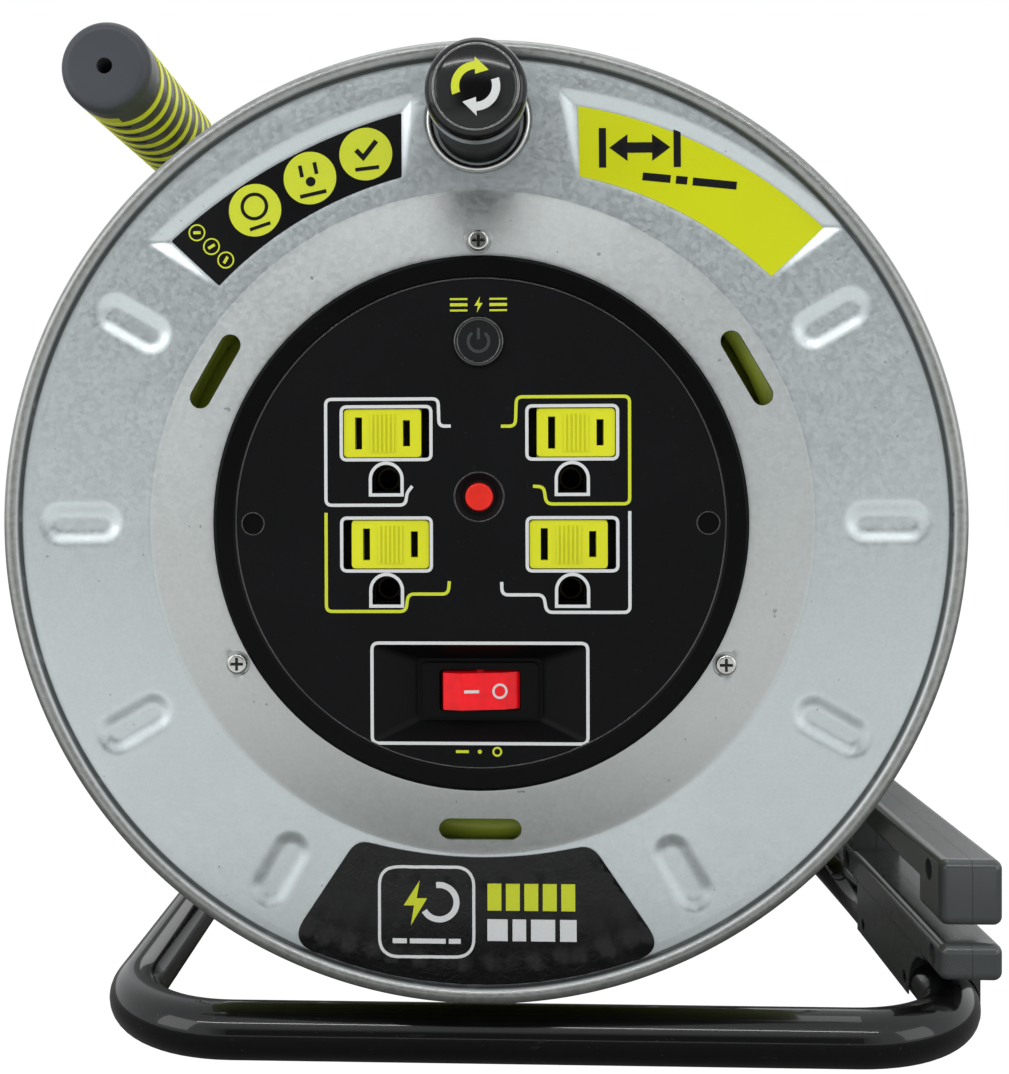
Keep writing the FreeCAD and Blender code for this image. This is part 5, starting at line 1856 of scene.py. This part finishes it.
@dataclass(frozen=True)
class RecessLabels:
    """The two labels in the flange's shallow recesses."""

    lift: float = 0.10
    black: ArcLabel = ArcLabel(((-20.4, 92.1), (-69.5, 63.7), (-82.6, 75.9), (-20.5, 109.4)), (5.2, -8.9),
                               (16.3, -33.4))
    lime: ArcLabel = ArcLabel(((26.8, 91.8), (77.1, 64.8), (91.0, 77.6), (26.5, 110.6)), (3.5, -11.9),
                              (4.9, -10.7))
    discs: tuple[Point2, ...] = ((-30.0, 98.5), (-45.0, 92.3), (-59.8, 83.9))
    disc_radius: float = 7.1
    rings: tuple[Point2, ...] = ((-75.6, 78.1), (-71.6, 74.3), (-67.7, 70.6))

    def build(self, art: Artwork) -> None:
        """Make both labels.

        Args:
            art: The drawing tools.
        """
        left, right = art.sheet.recesses
        for name, recess, label, finish, slot in (
                ("label_left", left, self.black, art.palette.flat_black_film, Slot.PANEL),
                ("label_right", right, self.lime, art.palette.lime_film, Slot.LIME)):
            film = Relief(name, art.on_floor(recess, self.lift), 0.10)
            film.area(label.outline(), 1.6)
            film.build(finish, slot, smooth=True)
        self.left_signs(art, left)
        self.right_signs(art, right)

    def left_signs(self, art: Artwork, recess: Recess) -> None:
        """Draw three discs with plain signs, and three small rings.

        Args:
            art: The drawing tools.
            recess: Where the label lies.
        """
        base = art.on_floor(recess, self.lift + 0.11)
        over = art.on_floor(recess, self.lift + 0.19)
        discs = Relief("label_left_discs", base)
        dark = Relief("label_left_signs", over)
        for centre in self.discs:
            discs.area(circle_points(centre, self.disc_radius, 64), 1.6)
        tick, sockets, cable = self.discs
        dark.strip(turned([(-2.6, 1.2), (-0.7, -0.9), (2.9, 3.4)], tick, 2.0), 1.3)
        dark.area(turned(rectangle((0.0, -3.9), 6.4, 1.0), tick, 6.0))
        for shape in (rectangle((-2.0, 2.3), 1.0, 3.2), rectangle((2.0, 2.3), 1.0, 3.2),
                      circle_points((0.0, -1.0), 1.3, 24), rectangle((0.0, -4.4), 7.2, 1.0)):
            dark.area(turned(shape, sockets, 12.0))
        dark.strip(circle_points((cable[0] - 0.2, cable[1] + 1.0), 3.3, 40), 0.9, True)
        dark.area(turned(rectangle((0.0, -4.6), 5.8, 0.9), cable, 18.0))
        rings = Relief("label_left_rings", base)
        for i, centre in enumerate(self.rings):
            rings.strip(circle_points(centre, 2.1, 28), 0.4, True)
            rings.area(turned(rectangle(ORIGIN, 2.0, 0.8), centre, 30.0 * i))
        discs.build(art.palette.lime_ink, Slot.LIME)
        dark.build(art.palette.black_ink)
        rings.build(art.palette.lime_ink, Slot.LIME)

    def right_signs(self, art: Artwork, recess: Recess) -> None:
        """Draw a length sign: an arrowed bar between stops, with plain bars below.

        Args:
            art: The drawing tools.
            recess: Where the label lies.
        """
        dark = Relief("label_right_signs", art.on_floor(recess, self.lift + 0.11))
        left, right, level = 32.9, 52.6, 99.3
        middle = (left + right) / 2
        for x in (left, right):
            dark.area(rectangle((x, level), 1.9, 10.6), 1.2)
        dark.area(rectangle((middle, level), right - left - 9.0, 2.8), 1.2)
        for side, x in ((1, left + 1.8), (-1, right - 1.8)):
            dark.area([(x, level), (x + side * 4.8, level - 3.6), (x + side * 4.8, level + 3.6)][::side], 1.2)
        first = 43.4
        for x, width in spaced(first, (7.4, 3.0, 11.6), 1.4):
            centre = (x, 91.6 - (x - first) * 0.11)
            dark.area(turned(rectangle(ORIGIN, width, 2.1), centre, -6.0), 1.2)
        dark.build(art.palette.black_ink)


@dataclass(frozen=True)
class LowerLabel:
    """The wrinkled black label at the bottom of the flange."""

    inner_centre: Point2 = (0.0, 30.5)
    inner: float = 119.6
    outer: float = 123.0
    top_angles: Point2 = (254.0, 284.3)
    low_angles: Point2 = (245.4, 293.2)
    top_corner: float = 4.0
    low_corner: float = 7.0
    clears: Point2 = (4.4, 7.4)
    lift: float = 0.28

    def outline(self) -> list[Point2]:
        """Outline the label: two arcs, sides that spread downwards, rounded corners.

        Returns:
            The outline.
        """
        top = circle_points(self.inner_centre, self.inner, 50, *self.top_angles)
        low = circle_points(ORIGIN, self.outer, 60, *reversed(self.low_angles))
        return joined_arcs(top, low, (self.top_corner, self.low_corner), self.clears, 8)

    @staticmethod
    def wrinkle(x: float, z: float) -> float:
        """Lift the film along soft creases.

        Args:
            x: Millimetres across.
            z: Millimetres up.

        Returns:
            Extra lift in millimetres.
        """
        radius = math.hypot(x, z)
        degrees = math.degrees(math.atan2(z, x))
        edge = max(0.0, 1.0 - abs(radius - 120.2) / 5.0) + 0.8 * max(0.0, 1.0 - abs(radius - 93.5) / 4.5)
        waves = math.sin(degrees * 2.1) * 0.5 + math.sin(degrees * 5.3 + radius * 0.11) * 0.35
        waves += math.sin(degrees * 1.3 - radius * 0.34) * 0.3
        return 0.20 * edge * (1.0 + waves) + 0.045 * (waves + 1.1)

    def build(self, art: Artwork) -> None:
        """Make the label and its plain signs.

        Args:
            art: The drawing tools.
        """

        def under(u: float, v: float, lift: float) -> Vector:
            """Follow the sheet under the film."""
            return art.space.point(u, art.bridged(u, v) - lift, v)

        def surface(u: float, v: float, lift: float) -> Vector:
            """Follow the film's face."""
            return under(u, v, lift + (self.lift + self.wrinkle(u, v)))

        film = Relief("label_lower", under, self.lift, 0.04)
        film.area(self.outline(), 1.25, self.wrinkle)
        film.build(art.palette.black_film, smooth=True)
        white = Relief("label_lower_white", surface, 0.08, 0.07)
        lime = Relief("label_lower_lime", surface, 0.08, 0.07)
        centre = (-14.4, -103.7)
        white.strip(self.dense(rectangle(centre, 25.2, 24.0)), 0.8, True)
        lime.area(art.bolt((centre[0] - 3.0, centre[1] + 2.4), 12.0), 1.2)
        white.strip(circle_points((centre[0] + 3.4, centre[1] + 2.6), 4.6, 30, -150.0, 100.0), 1.6)
        for x, width in spaced(centre[0] - 9.1, (3.8, 9.6, 3.2), 0.8):
            white.area(rectangle((x, centre[1] - 7.8), width, 1.3), 1.2)
        for k in range(5):
            lime.area(rectangle((3.7 + 4.9 * k, -99.6), 3.7, 7.2), 1.2)
        for x, width in spaced(1.8, (5.4, 3.6, 6.4, 4.4), 1.3):
            white.area(rectangle((x, -108.4), width, 5.8), 1.2)
        white.build(art.palette.white_ink)
        lime.build(art.palette.lime_ink)

    @staticmethod
    def dense(corners: Sequence[Point2]) -> list[Point2]:
        """Round a frame's corners and add points along its sides.

        Args:
            corners: Its four corners.

        Returns:
            The closed line.
        """
        line = rounded_path(corners, 5.2, True, 10)
        made: list[Point2] = []
        for i, here in enumerate(line):
            after = Vector(line[(i + 1) % len(line)])
            start = Vector(here)
            steps = max(1, int((after - start).length / 1.0))
            made += [tuple(start + (after - start) * k / steps) for k in range(steps)]
        return made


@dataclass(frozen=True)
class KnobSign:
    """Turning arrows under the knob's clear dome."""

    front: float = -29.5
    dome: float = 9.6
    drop: float = 1.4
    path: float = 5.0
    width: float = 2.0
    sweep: float = 110.0
    wing: float = 2.2

    def build(self, art: Artwork) -> None:
        """Make the signs.

        Args:
            art: The drawing tools.
        """

        def place(u: float, v: float, lift: float) -> Vector:
            """Follow the cap's dome."""
            fall = self.drop * min(1.0, math.hypot(u, v) / self.dome) ** 2
            return art.space.point(u + KNOB_CENTRE[0], self.front + fall - lift, v + KNOB_CENTRE[1])

        for name, first, finish in (("knob_arrow_lime", 200.0, art.palette.lime_ink),
                                    ("knob_arrow_white", 20.0, art.palette.white_ink)):
            sign = Relief(name, place, 0.115, 0.2)
            sign.strip(circle_points(ORIGIN, self.path, 24, first, first - self.sweep), self.width)
            tip = circle_points(ORIGIN, self.path, 1, first - self.sweep, first - self.sweep - 40.0)[1]
            wings = [circle_points(ORIGIN, self.path + out, 1, first - self.sweep + 2.0, first)[0]
                     for out in (self.wing, -self.wing)]
            sign.area([tip, *wings], 0.8)
            sign.build(finish, Slot.KNOB, Body.KNOB)


@dataclass(frozen=True)
class Bead:
    """A thin round bead that faces the front."""

    name: str
    centre: Point2
    radius: float
    depth: float
    thick: float

    def build(self, art: Artwork, finish: Finish, slot: Slot = Slot.PANEL, body: Body = Body.DRUM) -> None:
        """Make the bead."""
        line = [art.space.point(x, self.depth, z) for x, z in circle_points(self.centre, self.radius, 120)]
        finish_piece(self.name, swept_tube(line, lambda share: self.thick * MM, 12, True), finish, body)


@dataclass(frozen=True)
class Trim:
    """Raised edges that catch the light."""

    dome: Bead = Bead("knob_trim", KNOB_CENTRE, 10.45, -28.3, 0.34)
    seat: Bead = Bead("knob_seat_bead", KNOB_CENTRE, 13.05, 3.35, 0.95)
    edges: tuple[Bead, ...] = (
        Bead("lens_ring", LENS_CENTRE, 5.95, -1.35, 0.8),
        Bead("faceplate_edge", ORIGIN, 64.55, -0.95, 0.32),
        Bead("cutout_edge", (0.0, 7.0), 6.5, -0.9, 0.3),
        Bead("plug_edge_left", (-60.0, 0.0), 2.95, -0.85, 0.24),
        Bead("plug_edge_right", (60.0, 0.0), 2.95, -0.85, 0.24),
    )

    def build(self, art: Artwork) -> None:
        """Make the beads.

        Args:
            art: The drawing tools.
        """
        self.dome.build(art, art.palette.edge_metal, Slot.KNOB, Body.KNOB)
        self.seat.build(art, art.palette.steel, Slot.STEEL)
        for bead in self.edges:
            bead.build(art, art.palette.trim)


@dataclass(frozen=True)
class ScrewCrossShade:
    """Painted shade: dark floors laid in the flange screws' cross recesses."""

    floor: float = 1.23
    arm: float = 1.68
    half: float = 0.37

    def build(self, art: Artwork) -> None:
        """Make the painted shade floors.

        Args:
            art: The drawing tools.
        """
        a, h = self.arm, self.half
        cross = [(-h, -a), (h, -a), (h, -h), (a, -h), (a, h), (h, h), (h, a), (-h, a), (-h, h), (-a, h),
                 (-a, -h), (-h, -h)]
        shade_floors = Relief("screw_cross_painted_shade", art.on_plane(self.floor), 0.05, 0.02)
        for x, z in (circle_points(ORIGIN, SCREW_CIRCLE, 1, angle, angle)[0] for angle in SCREW_ANGLES):
            shade_floors.area([(x + u, z + v) for u, v in cross])
        shade_floors.build(art.palette.black_steel_and_painted_shade, Slot.STEEL)


@dataclass(frozen=True)
class WeldBeads:
    """Welds that join the hub plate and the two tubes at the back."""

    tube_y: float = 166.0
    tube_radius: float = 8.0
    plate_back: float = 157.95
    low: Point2 = (138.5, -143.0)
    left_low: Point2 = (-105.5, -143.0)
    bead: float = 1.7
    swell: float = 0.12

    def build(self, art: Artwork) -> None:
        """Make the beads.

        Args:
            art: The drawing tools.
        """
        top, low, left = Vector(GRIP_AXIS), Vector(self.low), Vector(self.left_low)
        diagonal = (low - top).normalized()
        foot = top + diagonal * (-top).dot(diagonal)
        upright = (foot - left).normalized()
        finish = art.palette.tube
        runs = [(diagonal, foot, -27.0, -9.0), (diagonal, foot, 9.0, 27.0), (upright, foot, -30.0, -13.0)]
        for number, (along, start, first, last) in enumerate(runs):
            across = Vector((-along.y, along.x))
            for side in (-1, 1):
                base = start + across * (side * 4.7)
                line = []
                for i in range(41):
                    spot = base + along * (first + (last - first) * i / 40)
                    wobble = 0.15 * math.sin(i * 1.9 + number)
                    line.append(art.space.point(spot.x + across.x * wobble, self.plate_back + 0.9,
                                                spot.y + across.y * wobble))
                name = f"weld_{number}_{'a' if side < 0 else 'b'}"
                finish_piece(name, swept_tube(line, self.ripple), finish, Body.FRAME)
        self.collar(art, foot, upright, diagonal, finish)

    def ripple(self, share: float) -> float:
        """Give the bead's radius along its length."""
        ends = min(1.0, 5.0 * min(share, 1.0 - share) + 0.35)
        return self.bead * ends * (1.0 + self.swell * abs(math.sin(share * 34.0))) * MM

    def collar(self, art: Artwork, foot: Vector, upright: Vector, diagonal: Vector, finish: Finish) -> None:
        """Make the bead round the upright's end, where it meets the diagonal.

        Args:
            art: The drawing tools.
            foot: Where the two centre lines cross.
            upright: Direction of the upright.
            diagonal: Direction of the diagonal.
            finish: The coat.
        """
        lean = upright.dot(diagonal)
        line = []
        for i in range(72):
            turn = 2 * math.pi * i / 72
            out_y = (self.tube_radius - 1.25 * self.bead) * math.cos(turn)
            sideways = self.tube_radius * math.sin(turn)
            reach = math.sqrt(max(0.0, (self.tube_radius + 0.8) ** 2 - out_y ** 2))
            side = Vector((-upright.y, upright.x))
            square = math.sqrt(1 - lean * lean)
            back = reach / square
            slant = sideways * lean / square * (1 if side.dot(diagonal) > 0 else -1)
            spot = foot - upright * (back + slant) + side * sideways
            line.append(art.space.point(spot.x, self.tube_y + out_y, spot.y))

        def ripple(share: float) -> float:
            """Give the bead's radius in metres."""
            return self.bead * (1 + self.swell * abs(math.sin(share * 60.0))) * MM

        finish_piece("weld_collar", swept_tube(line, ripple, 12, True), finish, Body.FRAME)


@dataclass(frozen=True)
class GripPatch:
    """The lime patch that shows on the grip's underside, behind the cap."""

    radius: float = 13.2
    depths: Point2 = (47.3, 53.1)
    angles: Point2 = (238.0, 277.0)

    def build(self, art: Artwork) -> None:
        """Make the patch.

        Args:
            art: The drawing tools.
        """

        def place(u: float, v: float, lift: float) -> Vector:
            """Wrap a drawing of (degrees, depth) round the grip."""
            turn = math.radians(u)
            r = self.radius + lift
            return art.space.point(GRIP_AXIS[0] + r * math.cos(turn), v, GRIP_AXIS[1] + r * math.sin(turn))

        patch = Relief("grip_patch", place, 0.22, 0.02)
        (first, last), (front, back) = self.angles, self.depths
        corners = [(first, front), (last, front), (last, back), (first, back)]
        patch.area(rounded_path(corners, 1.2, True), 1.5)
        patch.build(art.palette.lime, Slot.LIME, Body.FRAME)


# Studio


@dataclass(frozen=True)
class SoftLight:
    """One softbox."""

    name: str
    place: tuple[float, float, float]
    aim: tuple[float, float, float]
    size: tuple[float, float]
    watts: float

    def build(self) -> None:
        """Make the light."""
        data = bpy.data.lights.new(self.name, "AREA")
        data.shape = "RECTANGLE"
        data.size, data.size_y = self.size
        data.energy = self.watts
        lamp = placed(self.name, data)
        lamp.location = self.place
        towards = Vector(self.aim) - Vector(self.place)
        lamp.rotation_euler = towards.to_track_quat("-Z", "Y").to_euler()


@dataclass(frozen=True)
class Studio:
    """Pale floor, white backdrop and softboxes."""

    floor_half: float = 4.0
    floor_drop: float = 0.0002
    lights: tuple[SoftLight, ...] = (
        SoftLight("left", (-1.45, -1.0, 0.75), (0.0, 0.0, 0.15), (0.9, 1.1), 5.5),
        SoftLight("right", (1.5, -0.95, 0.60), (0.0, 0.0, 0.12), (0.8, 1.0), 3.5),
        SoftLight("over", (-0.1, -1.15, 1.15), (0.0, 0.0, 0.15), (1.8, 0.045), 4.5),
        SoftLight("top", (0.0, 0.2, 1.9), (0.0, 0.0, 0.1), (1.2, 0.9), 5.0),
        SoftLight("back", (0.2, 1.7, 1.0), (0.0, 0.0, 0.15), (1.4, 0.8), 3.0),
    )

    def build(self) -> None:
        """Make the studio."""
        self.floor()
        self.backdrop()
        for light in self.lights:
            light.build()

    def floor(self) -> None:
        """Make the floor: pale card that stays near white under the camera, with a painted shadow near the
        reel.
        """
        mesh = bmesh.new()
        below = Matrix.Translation((0.0, 0.0, -self.floor_drop))
        bmesh.ops.create_grid(mesh, x_segments=8, y_segments=8, size=self.floor_half, matrix=below)
        data = bpy.data.meshes.new("floor")
        mesh.to_mesh(data)
        mesh.free()
        material = bpy.data.materials.new("floor_card")
        material.use_nodes = True
        graph = Graph(material.node_tree)
        at = graph.position()
        # Painted shadow: the card darkens near and under the reel, seen mostly in reflections
        near = at.parts()[1].between(-0.25, -0.17)
        tone = graph.blend(graph.noise(at, 90.0, 2.0), (0.80, 0.80, 0.79), (0.84, 0.84, 0.83))
        tone = graph.blend(near, tone, (0.16, 0.16, 0.155))
        card = graph.add(NodeKind.DIFFUSE, {}, {"Color": tone})
        glow = graph.add(NodeKind.EMISSION, {}, {"Color": (1.0, 1.0, 1.0), "Strength": 1.18})
        seen = graph.add(NodeKind.LIGHT_PATH, {}, {}, "Is Camera Ray")
        surface = graph.add(NodeKind.MIX_SHADER, {}, {0: seen * 0.88, 1: card, 2: glow})
        graph.node(NodeKind.SURFACE_OUTPUT, {}, {"Surface": surface})
        data.materials.append(material)
        floor = placed("floor", data)

    def backdrop(self) -> None:
        """Make the surroundings: white to the camera, softer grey as a light."""
        world = bpy.data.worlds.new("studio")
        world.use_nodes = True
        bpy.context.scene.world = world
        graph = Graph(world.node_tree)
        seen = graph.add(NodeKind.LIGHT_PATH, {}, {}, "Is Camera Ray")
        across, _, height = graph.add(NodeKind.COORDINATES, {}, {}, "Generated").parts()
        aside = across.function("ABSOLUTE").between(0.18, 0.48)
        above = height.between(0.30, 0.50)
        sky = 0.85 - (1.0 - aside) * (1.0 - above) * 0.75
        around = graph.add(NodeKind.BACKGROUND, {}, {"Color": (0.92, 0.95, 0.96), "Strength": sky})
        white = graph.add(NodeKind.BACKGROUND, {}, {"Color": (1.0, 1.0, 1.0), "Strength": 1.0})
        mixed = graph.add(NodeKind.MIX_SHADER, {}, {0: seen, 1: around, 2: white})
        graph.node(NodeKind.WORLD_OUTPUT, {}, {"Surface": mixed})


# Assembly


class CordReel:
    """The whole object's looks."""

    REAR_OPENING = 13.32
    RIVET_HOLE = 2.45
    RIVET_CIRCLE = 24.56

    def __init__(self, frame: Mapping[str, object]) -> None:
        """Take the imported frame.
        """
        self.nodes: Mapping[str, bpy.types.Object] = frame["nodes"]
        self.space = DrumSpace.from_frame()
        self.palette = Palette((self.space.origin.x, self.space.origin.z))
        self.art = Artwork(self.space, self.palette)

    def node_finishes(self) -> dict[str, Finish]:
        """Say which finish each shown CAD node has.

        Returns:
            Finish by node name.
        """
        p = self.palette
        table: list[tuple[Finish, tuple[str, ...]]] = [
            (p.tube, ("frame_tube", "hub_plate")),
            (p.sheet, ("front_flange", "rear_flange", "drum_core")),
            (p.steel, ("axle", "axle_washer", "axle_clip", "thrust_washer", "flange_screws_front",
                       "flange_screws_rear", "hub_rivets", "panel_screws", "knob_spindle", "reset_spring")),
            (p.black_steel_and_painted_shade, ("guide_screws",)),
            (p.brass, ("hot_contacts", "neutral_contacts", "plug_blades")),
            (p.brass_in_painted_shade, ("ground_contacts",)),
            (p.panel, ("faceplate",)),
            (p.bezel, ("panel_bezel", "panel_plugs")),
            (p.switch, ("switch_body",)),
            (p.insulator, ("socket_housing", "breaker_body", "hub_housing", "cable_gland")),
            (p.nylon, ("hub_bush_front", "hub_bush_rear", "indicator_lamp")),
            (p.ring_lime_painted_light, ("grip_rings",)),
            (p.grip, ("grip_sleeve",)),
            (p.cap, ("grip_end_cap",)),
            (p.guide, ("guide_half_left", "guide_half_right")),
            (p.rocker, ("rocker",)),
            (p.reset, ("reset_button",)),
            (p.lens, ("indicator_lens",)),
            (p.knob, ("knob_grip",)),
            (p.knob_cap, ("knob_cap",)),
            (p.cord, ("plug_body",)),
        ]
        finishes = {name: finish for finish, names in table for name in names}
        for name in self.nodes:
            if name.startswith("shutter"):
                finishes[name] = p.lime
            elif name.startswith("outlet_body"):
                finishes[name] = p.insulator
        return finishes

    def dress_nodes(self) -> None:
        """Give each CAD node its finish."""
        finishes = self.node_finishes()
        for name, node in self.nodes.items():
            if node.hide_render:
                continue
            finish = finishes.get(name)
            if finish is None:
                LOG.warning("node %s has no finish", name)
                continue
            node.data.materials.clear()
            node.data.materials.append(finish.material())

    def flanges(self) -> None:
        """Make both pressed flanges."""
        finish = self.palette.sheet
        self.art.sheet.build("sheet_front", self.space, finish, "front_flange")
        screws = tuple(hole for hole in self.art.sheet.holes if hole.for_screw)
        rivets = tuple(Hole(self.RIVET_HOLE, self.RIVET_CIRCLE, 60.0 * i) for i in range(6))
        rear = PressedSheet.rear(self.REAR_OPENING, screws + rivets)
        rear.build("sheet_rear", self.space, finish, "rear_flange", DRUM_WIDTH)

    def build(self) -> None:
        """Make everything."""
        CameraView().build(self.space)
        Winding().build(self.space, self.palette.jacket)
        self.dress_nodes()
        self.flanges()
        for fitting in (PanelPrint(), RockerMarks(), RecessLabels(), LowerLabel(), KnobSign(), Trim(),
                        ScrewCrossShade(), WeldBeads(), GripPatch()):
            fitting.build(self.art)
        Studio().build()


def main() -> None:
    """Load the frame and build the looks."""
    logging.basicConfig(level=logging.INFO)
    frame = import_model()
    LOG.info("frame loaded with %d nodes", len(frame["nodes"]))
    CordReel(frame).build()


if __name__ == "__main__":
    main()
